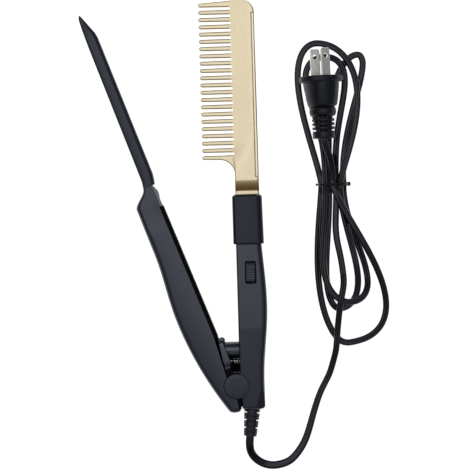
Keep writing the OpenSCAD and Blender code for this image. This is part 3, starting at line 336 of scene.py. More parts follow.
LEAD = [
    (7.3, -36.5, 10.6), (7.5, -41, 8.6), (9.5, -46, 5), (14.5, -50.5, 2.4), (21, -52.5, 1.9), (27, -52, 1.9),
    (32.5, -50, 1.9), (37.5, -45.5, 1.9), (43, -37, 1.9), (47, -26, 1.9), (50.5, -15, 1.9), (55, -4, 1.9),
    (60, 5.5, 1.9), (62.5, 13, 3), (64.5, 21, 5.6), (65.5, 30, 6), (66.5, 39, 7.2), (67.5, 47, 9.4),
    (69, 55, 9.9), (70.5, 63, 8.6), (70.3, 71, 6.4), (69, 81, 5.8), (67.2, 91, 5.4), (66.7, 101, 4),
    (67.2, 110, 3.2), (67.6, 117, 2.8)]
TAIL = [(65.2, 138, 10.6), (63.6, 145, 14.2), (61.4, 151, 16.9)]


def slot_x(strand):
    """Place across the tie of a strand: half a step for each count from the middle."""
    return BUNDLE_X + strand * SLOT_STEP / 2


def half_turn(way, first, last, reach, lean, right, left, sharp, heights, rings=24):
    """A lobe from the tie and back, for angles a from 0 to 360 degrees. It rises by (1 - cos a) / 2 of its
    reach. Its bulge is right or left times |sin a| times sin(a / 2) ** sharp, and its foot drifts from the
    first strand to the last."""
    angle = (np.arange(rings) + 0.5) * 360 / rings
    a = np.radians(angle)
    rise = (1 - np.cos(a)) / 2
    bulge = np.where((a < np.pi) == (way > 0), right, -left) * np.abs(np.sin(a)) * np.sin(a / 2) ** sharp
    drift = (slot_x(last) - slot_x(first)) * (1 - np.cos(a / 2)) / 2
    keys, levels = np.array(heights, float).T
    k = np.clip(np.searchsorted(keys, angle, side="right") - 1, 0, len(keys) - 2)
    height = levels[k] + (levels[k + 1] - levels[k]) * ease((angle - keys[k]) / (keys[k + 1] - keys[k]))
    return np.stack([slot_x(first) + drift + lean * rise ** 2 + bulge, TIE_Y + way * reach * rise, height], 1)


HALF_TURNS = [
    (1, 1, -2, 82, -1.5, 21, 23, 4.4,
     [(0, S1), (30, S1), (58, L2), (155, L2), (190, L1), (250, L1), (300, S2), (360, S2)]),
    (-1, -2, 3, 76, 7.5, 21, 16.5, 2.9, [(0, S2), (40, L2), (205, L2), (240, L1), (330, L1), (360, S1)]),
    (1, 3, -1, 83, 16, 9.5, 11.5, 3.2, [(0, S1), (30, L1), (330, L1), (360, S1)]),
    (-1, -1, 2, 80, 1, 19, 9.5, 2.8,
     [(0, S1), (30, L1), (220, L1), (250, L2), (312, L2), (338, S2), (360, S2)]),
    (1, 2, -3, 91, -6.5, 26, 18, 1.5, [(0, S2), (30, L2), (145, L2), (180, L1), (340, L1), (360, S1)]),
    (-1, -3, 0, 102, 9.5, 42, 13, 1.65,
     [(0, S1), (30, L1), (235, L1), (290, L3), (330, L3), (350, S3), (360, S3)])]
route = np.concatenate([
    [gland_tip - 1.5 * gland_way, gland_tip], LEAD, [(slot_x(1), 122, S1)],
    *[half_turn(*turn) for turn in HALF_TURNS],
    [(slot_x(0), 132, S3 + 0.3)], TAIL, [plug_exit, plug_exit + 1.5 * plug_way]])
print("route has", len(route), "points")

# %% [markdown]
# A flexible cord bends without corners, so the points are joined by a cubic spline that keeps slope and
# bend continuous. Its slopes come from one linear system for all points. The line is then measured and cut
# into even steps, which gives the real length and lets the section travel at a steady pace.

# %% Smooth line and cord surface
def smooth_line(points, first, last, step):
    """A line through the points with continuous slope and bend, in even steps. The slopes D solve
    D[i-1]/h[i-1] + 2 D[i] (1/h[i-1] + 1/h[i]) + D[i+1]/h[i] = 3 (rise[i-1]/h[i-1] + rise[i]/h[i]),
    where h are the spans between points and rise the unit directions; the end slopes are given."""
    gap = np.diff(points, axis=0)
    span = np.linalg.norm(gap, axis=1)
    lean, pull = 1 / span, 3 * gap / span[:, None] ** 2
    count = len(points)
    system = np.diag(np.concatenate([[1], 2 * (lean[:-1] + lean[1:]), [1]]))
    inner = np.arange(1, count - 1)
    system[inner, inner - 1], system[inner, inner + 1] = lean[:-1], lean[1:]
    slope = np.linalg.solve(system, np.concatenate([[first], pull[:-1] + pull[1:], [last]]))
    knots = np.concatenate([[0], np.cumsum(span)])
    at = np.linspace(0, knots[-1], 12 * count)
    k = np.clip(np.searchsorted(knots, at, side="right") - 1, 0, count - 2)
    t, h = ((at - knots[k]) / span[k])[:, None], span[k][:, None]
    line = ((1 + 2 * t) * (1 - t) ** 2 * points[k] + t * (1 - t) ** 2 * h * slope[k]
            + t * t * (3 - 2 * t) * points[k + 1] + t * t * (t - 1) * h * slope[k + 1])
    run = np.concatenate([[0], np.cumsum(np.linalg.norm(np.diff(line, axis=0), axis=1))])
    even = np.linspace(0, run[-1], int(run[-1] / step) + 1)
    return np.stack([np.interp(even, run, line[:, axis]) for axis in range(3)], 1), even


def swept(line, section, up=(0, 0, 1), roll=0.0):
    """Carries a section along a line. The section is (rings or 1, around, 2), with its first number across
    and its second towards up, and roll turns it about the line."""
    way = np.gradient(line, axis=0)
    way /= np.linalg.norm(way, axis=1)[:, None]
    side = np.cross(way, np.broadcast_to(up, way.shape))
    side /= np.linalg.norm(side, axis=1)[:, None]
    rise = np.cross(side, way)
    turn = np.broadcast_to(roll, len(line))[:, None, None]
    across, above = section[..., :1], section[..., 1:]
    return (line[:, None] + side[:, None] * (across * np.cos(turn) - above * np.sin(turn))
            + rise[:, None] * (across * np.sin(turn) + above * np.cos(turn)))


def oval(count, power=2.0, start=0.0):
    """Points round |x| ** power + |z| ** power = 1: a circle for 2, and squarer for more."""
    angle = start + np.linspace(0, 2 * np.pi, count, endpoint=False)
    x, z = np.cos(angle), np.sin(angle)
    reach = (np.abs(x) ** power + np.abs(z) ** power) ** (-1 / power)
    return np.stack([x * reach, z * reach], -1)


line, run = smooth_line(route, gland_way, plug_way, 1.0)
flex_x, flex_z = oval(24, 2.1).T
valley = 1 - 0.27 * np.exp(-(flex_x / 0.30) ** 2)       # groove between the two cores
wide = 1 - ease((run - 25) / 70)                        # near the gland the flex lies flat and wider
half_w = (CORD_W + 1.0 * wide) / 2
half_t = (CORD_T - 0.4 * wide) / 2
flex = np.stack([half_w[:, None] * flex_x, half_t[:, None] * flex_z * valley], 2)
sway = np.radians(14) * np.sin(2 * np.pi * run / 190)
cord = piece("flat_cord", "handle", "cord_jacket", "cord_lead cord_hank cord_tail",
             swept(line, flex, roll=sway), crease=60)

# %% [markdown]
# ## Rounded bars
# Both shells of the handle and of the arm, the collar, the comb's spine and the blade are bars whose edges
# are arcs and whose top is slightly crowned. Moulded parts are never quite flat, and the crown is what
# turns one soft lamp into the broad gradients of the photograph. Half of such a section is one function,
# so a shell is a half, and a full bar is two halves back to back.

# %% Sections of a rounded bar
HUB = 0.05                      # smallest radius of a turned piece, so that its middle stays a clean ring


def arch(x0, x1, rise, r0, r1, crown=0.0, lip=0.0, corner=8, span=28):
    """Half a rounded bar for each station: up the side at x1, round its corner of radius r1, over the top,
    round the corner of radius r0 and down the side at x0. The crown adds crown * (1 - q * q), where q goes
    from -1 to 1 across."""
    x0, x1, rise, r0, r1 = [np.atleast_1d(v).astype(float)[:, None] for v in (x0, x1, rise, r0, r1)]
    turn = np.linspace(0, np.pi / 2, corner)[None]
    up = np.linspace(0, 1, 5)[None, :-1]
    over = np.linspace(0, 1, span + 2)[None, 1:-1]
    x = [x1 - lip + 0 * rise, x1 + 0 * up * rise, x1 - r1 + r1 * np.cos(turn),
         x1 - r1 + (x0 + r0 - x1 + r1) * over, x0 + r0 - r0 * np.sin(turn), x0 + 0 * up * rise,
         x0 + lip + 0 * rise]
    z = [0 * rise, lip + (rise - r1 - lip) * up, rise - r1 + r1 * np.sin(turn),
         rise + 0 * over, rise - r0 + r0 * np.cos(turn), lip + (rise - r0 - lip) * up[:, ::-1], 0 * rise]
    rows = max(len(v) for v in (x0, x1, rise, r0, r1))
    x = np.concatenate([np.broadcast_to(part, (rows, part.shape[1])) for part in x], 1)
    z = np.concatenate([np.broadcast_to(part, (rows, part.shape[1])) for part in z], 1)
    middle, half = (x0 + x1) / 2, np.maximum((x1 - x0) / 2, 0.01)
    return x, z + crown * (1 - ((x - middle) / half) ** 2) * (z > 0)


def half_bar(y, x, z, side=1):
    """Rings of one half: the arch above the parting plane, or below it where side is -1."""
    return np.stack([x, np.broadcast_to(y[:, None], x.shape), MID + side * z], 2)


def full_bar(y, x, z):
    """Rings of a whole bar: the arch above the parting plane and its mirror image below."""
    whole_x = np.concatenate([x, x[:, -2:0:-1]], 1)
    whole_z = np.concatenate([z, -z[:, -2:0:-1]], 1)
    return half_bar(y, whole_x, whole_z)


def fillet(radius, count):
    """A quarter round, for t from 0 to 90 degrees: how far each point is past its start, which is
    radius * (1 - cos t), and how far the skin is drawn in there, which is radius * (1 - sin t)."""
    t = np.linspace(0, np.pi / 2, count)
    return radius * (1 - np.cos(t)), radius * (1 - np.sin(t))


def stations(y0, y1, start=0.0, end=0.0, step=1.0):
    """Places along a bar with fillets of the given radii at its ends, and how far its skin is drawn in."""
    past, first_in = fillet(start, 9 if start else 1)
    before, last_in = fillet(end, 9 if end else 1)
    first, last = y0 + past, (y1 - before)[::-1]
    middle = np.linspace(first[-1], last[0], int((last[0] - first[-1]) / step) + 2)[1:-1]
    return np.concatenate([first, middle, last]), np.concatenate([first_in, 0 * middle, last_in[::-1]])


def bell(y, peak, reach):
    """A swell: the square of cos(90 degrees * (y - peak) / reach), and 0 beyond the reach."""
    share = (y - peak) / reach
    return np.where(np.abs(share) < 1, np.cos(np.pi / 2 * share) ** 2, 0.0)


def box(x, y, z):
    """Rings of a plain block, used as a cutting tool."""
    corners = np.array([(x[0], z[0]), (x[1], z[0]), (x[1], z[1]), (x[0], z[1])], float)
    return np.stack([np.insert(corners, 1, place, axis=1) for place in y])


def turned(profile, at=(0, 0, 0), axis="z", around=72):
    """Rings of a turned piece, from (distance along the axis, radius) pairs."""
    run_along, radius = np.array(profile, float).T
    angle = np.linspace(0, 2 * np.pi, around, endpoint=False)
    a, b = radius[:, None] * np.cos(angle), radius[:, None] * np.sin(angle)
    along = np.broadcast_to(run_along[:, None], a.shape)
    order = {"x": (along, a, b), "y": (b, along, a), "z": (a, b, along)}[axis]
    return np.stack(order, 2) + np.array(at, float)


def rounded_disc(low, high, radius, edge, dish=0.0):
    """Profile of a disc from low to high with rounded rims, its upper face domed by dish in the middle."""
    past, drawn = fillet(edge, 6)
    face = [(high + dish * (1 - share ** 2), (radius - edge) * share) for share in (0.66, 0.33)]
    return [(low, HUB), *zip(low + past, radius - drawn), *zip((high - past)[::-1], (radius - drawn)[::-1]),
            *face, (high + dish, HUB)]

# %% [markdown]
# ## The handle
# The handle swells gently on its outer side and is straight on the inner side, with a small step at the
# tail. Its top shell has a lowered corner beside the gland, which reads as a crease. That corner is a
# tilted plane, and the shell's height is the smooth minimum of the shell and the plane. Pockets, the
# rocker's window and the hinge's ears are cut and joined afterwards as solids, as a mould's cores would.

# %% Handle shells
TAIL_Y, HANDLE_Y = -15.1, 90.2
WALL, FACE_X = 2.2, 2.2
EAR_R, POCKET_R, KNUCKLE_R = 8.0, 8.3, 7.9
EAR_LOW, EAR_HIGH, KNUCKLE_Z = 14.9, 22.0, 14.6
OPEN = np.radians(20.3)
FALL_Y, FALL, RISE = 36.5, 0.020, 0.009      # the top is highest at FALL_Y and falls both ways, per mm
CREASE_AT, CREASE_TURN, CREASE_SLOPE = (17.6, 11.0), np.radians(16.5), np.radians(30)
CREASE_SOFT = 0.12


def grip_x(y):
    """Outer edge of the handle: 17.9 mm, swelling by 3.1 mm at the middle of the grip."""
    return 17.9 + 3.1 * np.where(y > 50.8, bell(y, 50.8, 57), bell(y, 50.8, 48))


def handle_half(side):
    """One shell's rings. Where side is 1 the tilted plane lowers the corner beside the gland."""
    y, inset = stations(TAIL_Y, HANDLE_Y, start=2.4, end=0.3, step=0.7)
    x0 = FACE_X + 1.0 - ease((y + 8.0) / 0.5)
    x, z = arch(x0 + inset * 0.6, grip_x(y) - inset, MID - inset, 1.2, 3.4, crown=0.35 if side > 0 else 0.0,
                lip=0.12, span=44)
    if side > 0:
        lowered = FALL * np.maximum(FALL_Y - y, 0) + RISE * np.maximum(y - FALL_Y, 0)
        z = np.where(z > 1, z - lowered[:, None], z)
        past = (x - CREASE_AT[0]) * np.cos(CREASE_TURN) - (y[:, None] - CREASE_AT[1]) * np.sin(CREASE_TURN)
        plane = MID + 0.3 - past * np.tan(CREASE_SLOPE)
        z = np.where(z > 1, -CREASE_SOFT * np.logaddexp(-z / CREASE_SOFT, -plane / CREASE_SOFT), z)
    return half_bar(y, x, z, side)


def rounded_rectangle(x, y, radius, steps=6):
    """Outline of a rectangle with round corners, anticlockwise."""
    turn = np.linspace(0, np.pi / 2, steps)
    corners = [(x[1] - radius, y[1] - radius, 0), (x[0] + radius, y[1] - radius, 1),
               (x[0] + radius, y[0] + radius, 2), (x[1] - radius, y[0] + radius, 3)]
    return np.concatenate([np.stack([cx + radius * np.cos(turn + k * np.pi / 2),
                                     cy + radius * np.sin(turn + k * np.pi / 2)], 1)
                           for cx, cy, k in corners])


def arc(cx, cy, radius, start, stop, steps):
    """Points of an arc from start to stop degrees."""
    angle = np.radians(np.linspace(start, stop, steps + 1))
    return np.stack([cx + radius * np.cos(angle), cy + radius * np.sin(angle)], 1)


def sector(inner, outer, start, stop, steps=24):
    """Outline of a ring sector round the pivot, from start to stop degrees, anticlockwise."""
    return np.concatenate([arc(0, 0, outer, start, stop, steps), arc(0, 0, inner, stop, start, steps)])


def prism(outline, levels, order=(0, 1, 2)):
    """Rings of an outline carried through levels. order says which of (u, v, level) goes to x, y and z."""
    rings = [np.insert(np.asarray(outline, float), 2, level, axis=1) for level in levels]
    return np.stack(rings)[..., list(order)]


def slab(outline, low, high, edge, order=(0, 1, 2)):
    """A plate with rounded rims over an anticlockwise outline, which the rims draw in along its normals."""
    outline = np.asarray(outline, float)
    ahead = np.roll(outline, -1, 0) - outline
    ahead /= np.linalg.norm(ahead, axis=1)[:, None]
    mean = ahead + np.roll(ahead, 1, 0)
    mean /= np.linalg.norm(mean, axis=1)[:, None]
    normal = np.stack([mean[:, 1], -mean[:, 0]], 1) / np.maximum((mean * ahead).sum(1), 0.5)[:, None]
    past, drawn = fillet(edge, 5)
    inset = np.concatenate([drawn, drawn[::-1]])
    level = np.concatenate([low + past, (high - past)[::-1]])
    flat = outline[None] - normal[None] * inset[:, None, None]
    rings = np.concatenate([flat, np.broadcast_to(level[:, None, None], flat.shape[:2] + (1,))], 2)
    return rings[..., list(order)]


cavity_y = np.linspace(38, 83.5, 12)
cavity = np.concatenate([[(FACE_X + WALL, 38), (FACE_X + WALL, 83.5)],
                         np.stack([grip_x(cavity_y) - WALL, cavity_y], 1)[::-1]])
SPRING_Y, SPRING_Z, SPRING_SEAT = 15.3, 8.0, 12.0
spring_bore = turned([(1, 3.05), (SPRING_SEAT, 3.05)], (0, SPRING_Y, SPRING_Z), "x", 48)
plate_window = prism(rounded_rectangle((11.8, 32.3), (3.4, 20.6), 2), (0.2, 3.0), (2, 0, 1))
bead_room = prism(rounded_rectangle((27.5, 32.3), (5, 19), 1), (0.2, 4.4), (2, 0, 1))
knuckle_pocket = turned([(MID - 3.9, POCKET_R), (EAR_LOW, POCKET_R)], around=96)
room = prism(cavity, (WALL, 22 - WALL))

ROCKER_X, ROCKER_Y, AXLE_Z, ROCKER_R = 11.0, 72.2, 18.2, 6.9
WINDOW_X, WINDOW_Y = 3.55, 7.2
window_levels = [(16.0, 0.0), (21.85, 0.0), (22.02, 0.1), (22.3, 0.4), (23.0, 1.1)]
window = np.concatenate([prism(rounded_rectangle(
    (ROCKER_X - WINDOW_X - grow, ROCKER_X + WINDOW_X + grow),
    (ROCKER_Y - WINDOW_Y - grow, ROCKER_Y + WINDOW_Y + grow), 1.2 + grow), (level,))
    for level, grow in window_levels])

cap_line = prism(sector(8.02, 8.42, -100, 97), (21.0, 24))
piece("handle_upper_shell", "handle", "handle_shell", "handle_top", handle_half(1), even=True,
      steps=[(JOIN, turned(rounded_disc(EAR_LOW, EAR_HIGH, EAR_R, 0.2), around=96)),
             (CUT, knuckle_pocket, plate_window, room), (CUT, window, bead_room, spring_bore),
             (CUT, cap_line)])

WEB_Z = (1.6, 4.5)
tail_slot = [(-6, -14.7), (5.1, -14.1), (5.1, -8.15), (-6, -8.15)]
web_slots = [prism(outline, (WEB_Z[0] - 0.3, WEB_Z[1] + 0.3))
             for outline in (sector(8.05, 18.9, 43, 92, 19), tail_slot)]
cap_seat = turned([(-1, 8.1), (1.2, 8.1)], around=96)
SCREWS = {"handle": [(7.5, 34.2), (6.6, 86.9)], "arm": [(-12.0, 34.0), (-10.5, 120.6)]}


def screw_rooms(spots):
    """Round pockets for the screw heads at these spots."""
    return [turned([(-1, 2.8), (2.5, 2.8)], (x, y, 0), around=48) for x, y in spots]


piece("handle_lower_shell", "handle", "handle_shell", "handle_bottom", handle_half(-1), even=True,
      steps=[(JOIN, turned(rounded_disc(1.2, 7.1, EAR_R, 0.2), around=96)),
             (CUT, knuckle_pocket, plate_window, room, cap_seat), (CUT, *web_slots),
             (CUT, bead_room, spring_bore, *screw_rooms(SCREWS["handle"]))])

# %% [markdown]
# ## The heat collar
# A separate moulding in a heat-resistant resin joins handle and comb. It stands proud of the handle all
# round, its rear edge is softly rounded, which shows as a thin lighter line, and its front edge is
# bevelled.

# %% Collar
COLLAR_Y = (90.2, 121.9)
past, drawn = fillet(0.7, 6)
y = np.concatenate([COLLAR_Y[0] + past, np.linspace(92, 119.8, 16),
                    [120.35, 120.6, 120.8, 121.4, 121.75, 121.9]])
inset = np.concatenate([drawn, np.zeros(16), [0.0, 0.08, 0.25, 0.85, 1.2, 1.4]])
narrow = 0.5 * (y - COLLAR_Y[0]) / 31.7
x, z_top = arch(0.6 + inset, 20.1 - narrow - inset, 12.2 - inset, 2.6, 4.0, crown=0.3)
x, z_low = arch(0.6 + inset, 20.1 - narrow - inset, 11.0 - inset, 2.6, 4.0)
piece("heat_collar_resin", "handle", "collar_resin", "heat_collar",
      np.concatenate([half_bar(y, x, z_top), half_bar(y, x, z_low, -1)[:, -2:0:-1]], 1))

# %% [markdown]
# ## The comb
# The comb is one casting: a thick spine and a thinner plate from which the 22 teeth are cut. In plan the
# outline is all arcs: a round tip on each tooth, a round bottom in each slot, a fillet under the first
# tooth and a big round corner at the end. The plate is that outline with softened rims. The spine is a bar
# along Y whose top rises slowly from the slots, so that no step shows there, trimmed by the same outline,
# and the two are joined as solids. Cutting the slots one by one would give the same shape, but the outline
# says it in one line.

# %% Comb outline
TEETH, PITCH, TIP_W, ROOT_W = 22, 4.65, 2.6, 2.9
ROOT_X, SPINE_X, BACK_X, TIP_X = 3.0, 2.125, 18.2, -16.4
SLOT_R = (PITCH - ROOT_W) / 2
NECK_X = (2.8, 18.1)
FILLET_R = 9.5
TOOTH_0 = COLLAR_Y[1] + 13 + FILLET_R + ROOT_W / 2
TOOTH_N = TOOTH_0 + (TEETH - 1) * PITCH
COMB_TOP, BACK_CORNER = TOOTH_N + 3.4, 9.0
STRIP_Y = (COLLAR_Y[1] + 11, COMB_TOP - BACK_CORNER)

teeth = [np.concatenate([arc(TIP_X, TOOTH_0 + k * PITCH, TIP_W / 2, 90, 270, 10),
                         arc(SPINE_X, TOOTH_0 + (k - 0.5) * PITCH, SLOT_R, 90, -90, 10)])
         for k in range(TEETH - 1, 0, -1)]
toothed_side = teeth + [arc(TIP_X, TOOTH_0, TIP_W / 2, 90, 270, 10),
                        arc(NECK_X[0] - FILLET_R, TOOTH_0 - ROOT_W / 2 - FILLET_R, FILLET_R, 90, 0, 14)]
comb_outline = np.concatenate([[(NECK_X[0], COLLAR_Y[1] - 2), (BACK_X - 4, COLLAR_Y[1] - 2)],
                               arc(BACK_X - 10, COMB_TOP - 9.4, 9, 0, 90, 14)] + toothed_side)
print("outline has", len(comb_outline), "points")

# %% Comb casting and strip
SLOPE_Y = COLLAR_Y[1] + 2.5
groove = 0.05
RAMP = 0.25                      # the spine's top rises by this for each millimetre from the slots
y = np.concatenate([[COLLAR_Y[1] - 2, SLOPE_Y], np.linspace(SLOPE_Y, SLOPE_Y + 7.1, 16)[1:],
                    [STRIP_Y[0] - groove, STRIP_Y[0] + groove], np.linspace(136, STRIP_Y[1] - 2, 24),
                    [STRIP_Y[1] - groove, STRIP_Y[1] + groove],
                    STRIP_Y[1] + BACK_CORNER * np.sin(np.radians(np.concatenate([np.arange(5, 70, 5),
                                                                                np.arange(70, 89.5, 2)])))])
toothed = ease((y - TOOTH_0 + 6) / 5)
inner = NECK_X[0] + (SPINE_X - NECK_X[0]) * toothed
back = np.where(y < STRIP_Y[0], NECK_X[1], BACK_X)
back = np.where((y > STRIP_Y[0]) & (y < STRIP_Y[1]), BACK_X - 2.15, back)
past = np.clip((y - STRIP_Y[1]) / BACK_CORNER, 0, 1)
back = np.where(y > STRIP_Y[1], BACK_X - BACK_CORNER * (1 - np.sqrt(1 - past ** 2)), back)
tall = 3.6 + 1.4 * ease((y - SLOPE_Y) / 7.1)
back_r = np.where((y > STRIP_Y[0]) & (y < STRIP_Y[1]), 0.35, 1.1)
end_inset = 1.2 * (1 - np.sqrt(1 - np.clip((y - COMB_TOP + 1.2) / 1.2, 0, 0.999) ** 2))
x, z = arch(inner, np.maximum(back, inner + 4.5), tall - end_inset, 0.9 - 0.4 * toothed, back_r,
            crown=0.12, corner=6, span=28)
ramp = 1.8 + RAMP * (x - SPINE_X) + 3.3 * (1 - ease((y - TOOTH_0 + 14) / 30))[:, None]
z = np.where(z > 0.6, -0.15 * np.logaddexp(-z / 0.15, -ramp / 0.15), z)
# the casting's own outline, open towards the back, trims the spine to the slots and to the sloping top
rise = (COMB_TOP - TOOTH_N - TIP_W / 2) / (BACK_X - BACK_CORNER - TIP_X)
trim = np.concatenate([[(NECK_X[0], COLLAR_Y[1] - 3), (40, COLLAR_Y[1] - 3),
                        (40, COMB_TOP + rise * (40 - BACK_X + BACK_CORNER))]] + toothed_side)
piece("comb_casting", "handle", "comb_metal", "comb_head", full_bar(y, x, z), even=True,
      steps=[(KEEP, prism(trim, (0, 22))), (JOIN, slab(comb_outline, MID - 2, MID + 2, 0.75))])

strip_y, inset = stations(*STRIP_Y, start=0.4, end=0.4, step=6)
x, z = arch(16.45 + inset * 0, 18.2 - inset, 4.7 - inset, 0.2, 0.95, crown=0.05, corner=6, span=6)
foot, foot_z = arch(16.1 + inset * 0, 17.0 - inset, 3.5 - inset, 0.1, 0.1, corner=3, span=3)
piece("spine_strip_plated", "handle", "strip_metal", "spine_strip", full_bar(strip_y, x, z),
      steps=[(JOIN, full_bar(strip_y, foot, foot_z))])

# %% [markdown]
# ## The press arm
# The arm is drawn closed, beside the comb, where its hinge is easiest to measure, and every ring is then
# turned open by 20.3 degrees about the pivot. Its back swells like the handle's, its nose narrows to the
# blade by a cosine, and its tail is round. Seats for the liner, the lip and the guide collar are cut as
# solids.

# %% Arm shells
ARM_LEN, ARM_TAIL, SHOULDER_Y, NOSE_Y, NOSE_DROP = 139.0, 15.6, 127.5, 108.0, 4.2
LINER_Y, LINER_T = (34.4, 124.3), 2.6
BLADE_X, LIP_BACK = -7.7, -2.6
ARM_FACE, FACE_DRAFT = 0.8, 1.1 / 91


def opened(rings):
    """Turns points about the pivot axis by the angle of the open arm."""
    x, y, z = np.moveaxis(np.asarray(rings, float), -1, 0)
    return np.stack([x * np.cos(OPEN) - y * np.sin(OPEN), x * np.sin(OPEN) + y * np.cos(OPEN), z], -1)


def arm_face_x(y):
    """Inner face of the arm: sloping at the tail, straight at the grip, slightly leaning at the liner."""
    return np.where(y < -8.0, -0.3 + (y + 8.4) * 0.375,
                    np.where(y < LINER_Y[0], ARM_FACE, ARM_FACE - FACE_DRAFT * (y - LINER_Y[0])))


def arm_back_x(y):
    """Outer edge of the arm: widest at 52 mm, falling as a square towards the tail and as a bell forwards."""
    return np.where(y > 52, 17.2 + 2.9 * bell(y, 52, 46), 20.1 - 0.0023 * (52 - y) ** 2)


def arm_half(side):
    """One shell's rings, drawn closed."""
    y, inset = stations(-ARM_TAIL, ARM_LEN, start=3.0, end=0.5, step=0.8)
    nose = ease((y - SHOULDER_Y) / (ARM_LEN - SHOULDER_Y))
    back = -arm_back_x(y) + (arm_back_x(y) + BLADE_X - 0.6) * nose
    fall = NOSE_DROP * ease((y - NOSE_Y) / (ARM_LEN - NOSE_Y))
    x, z = arch(back + inset, arm_face_x(y) - 0.3 * inset, MID - fall - 0.6 * inset,
                3.4 - 1.6 * nose, 2.0 - 0.9 * nose, crown=0.5 if side > 0 else 0.0, lip=0.12, span=40)
    return half_bar(y, x, z, side)


POST_Y, POST_Z, POST_R = 22.8, 13.2, 5.35
PLATE_X, PLATE_T = 2.4, 4.8
way_y = (POST_Y - 0.25, POST_Y + 0.9)
post_way_outline = np.concatenate([arc(way_y[1], POST_Z, POST_R + 0.3, -90, 90, 24),
                                   arc(way_y[0], POST_Z, POST_R + 0.3, 90, 270, 24)])
liner_seat = prism([(6, LINER_Y[0] - 0.3), (6, 141), (LIP_BACK, 141), (LIP_BACK, LINER_Y[1]),
                    (arm_face_x(LINER_Y[1]) - LINER_T, LINER_Y[1]), (ARM_FACE - LINER_T, LINER_Y[0] - 0.3)],
                   (-1, 23))
arm_y = np.linspace(40, 116, 10)
arm_room = prism(np.concatenate([np.stack([-arm_back_x(arm_y) + WALL, arm_y], 1),
                                 [(-5.2, 116), (-4.2, 40)]])[::-1], (WALL, 22 - WALL))
plate_seat = prism(rounded_rectangle((12.3, 31.8), (3.9, 20.1), 4), (PLATE_X - PLATE_T, 6), (2, 0, 1))
post_way = prism(post_way_outline, (-8.4, -0.3), (2, 0, 1))
# Rebates for the black inlay; the one at the tail holds black put where only shade falls.
BAND_Z = 20.1
BANDS = [[(-3.9, 7.4), (3, 7.4), (3, 34.12), (-1.8, 34.12)], [(-4.9, -20), (4, -20), (4, -7.6), (-2.9, -7.6)]]
upper_ear_room = turned([(KNUCKLE_Z, POCKET_R), (30, POCKET_R)], around=96)
lower_ear_room = turned([(-8, POCKET_R), (22 - KNUCKLE_Z, POCKET_R)], around=96)
for side, name, node, ear_room, pockets, band_z in (
        (1, "arm_upper_shell", "arm_top", upper_ear_room, [], (BAND_Z - 0.7, 24)),
        (-1, "arm_lower_shell", "arm_bottom", lower_ear_room, screw_rooms(SCREWS["arm"]), (-3, -2))):
    knuckle = turned([(MID, KNUCKLE_R), (MID + side * (KNUCKLE_Z - MID), KNUCKLE_R)], around=96)
    piece(name, "arm", "arm_shell", node, arm_half(side), place=opened, even=True,
          steps=[(CUT, ear_room, liner_seat, arm_room, *pockets), (CUT, plate_seat), (CUT, post_way),
                 (CUT, *[prism(band, band_z) for band in BANDS]), (JOIN, knuckle)])

# %% [markdown]
# Between the two tails the hinge is black, and that black is shade in the deep wedge there. The arm's inner
# edge is set down and carries a black inlay: along the edge it continues the liner's own black and deepens
# the shade of the set-down edge, and at the tail it is a black sheet put where there is only shade. A low web
# of the same black, a ring sector round the pivot, is a dark sheet put in the shaded wedge below the spring.
# As the comb closes, the web slides into a slot in the handle's lower shell. The slot is a little larger than
# the swept ring.

# %% Black inlay and web standing in for the hinge's shade
inlay_outline = [(-3.9, 7.4), (0.75, 7.4), (0.75, 12.2), (-2.45, 12.2), (-2.45, 31.9), (0.75, 31.9),
                 (0.75, 34.1), (-1.8, 34.1)]
tail_shade_outline = [(-2.9, -7.7), (-4.75, -14.2), (-2.4, -14.6), (-0.1, -7.7)]
# Black inlay: the liner's black along the edge, and at the tail a black sheet standing in for shade.
piece("hinge_inlay_and_shade", "arm", "liner", "", place=opened,
      *[slab(outline, MID + 0.1, BAND_Z, 0.2) for outline in (inlay_outline, tail_shade_outline)],
      steps=[(CUT, upper_ear_room), (CUT, prism(post_way_outline, (-9, 6), (2, 0, 1)))])
# The web is a black sheet put where the wedge below the spring lies in shade.
piece("hinge_shade_web", "arm", "liner", "", slab(sector(8.1, 18.6, 68, 120), *WEB_Z, 0.3),
      slab([(4.6, -8.4), (-2.5, -8.4), (-5.2, -13.4), (2.2, -14.4), (4.6, -13.8)], *WEB_Z, 0.3))

# %% [markdown]
# ## Liner, lip and blade
# A dark silicone liner runs along the arm's inner face; its bead shows as a thin lighter line. Beside the
# blade's root a bent steel lip holds the blade. The blade itself is two rails that straddle the teeth, so
# in section it is a ridge: the outer side rises to a crest at seven tenths of the width and falls away
# inwards.

# %% Liner and lip
y, inset = stations(*LINER_Y, start=0.5, end=0.3, step=2.0)
face = arm_face_x(y)
x, z = arch(face - LINER_T + 0.05, face, 10.0 - inset, 0.2, 0.8, corner=6, span=24)
z = z + 0.35 * np.exp(-((x - face[:, None] + 0.95) / 0.3) ** 2) * (z > 9)
piece("arm_liner_silicone", "arm", "liner", "arm_liner", full_bar(y, x, z), place=opened)

lip_y = np.concatenate([np.linspace(124.35, 137, 20), np.linspace(137.4, 138.9, 6)])
lip_x = np.interp(lip_y, [124.3, 127.5, 129.5, 132.0, 134.5, 138.9], [-0.6, -0.8, -0.8, -0.15, -0.1, -1.9])
x, z = arch(LIP_BACK + 0 * lip_y, lip_x, 6.2 + 0 * lip_y, 0.2, 0.35, corner=5, span=5)
piece("blade_lip_steel", "arm", "tang_metal", "blade_tang", full_bar(lip_y, x, z), place=opened)

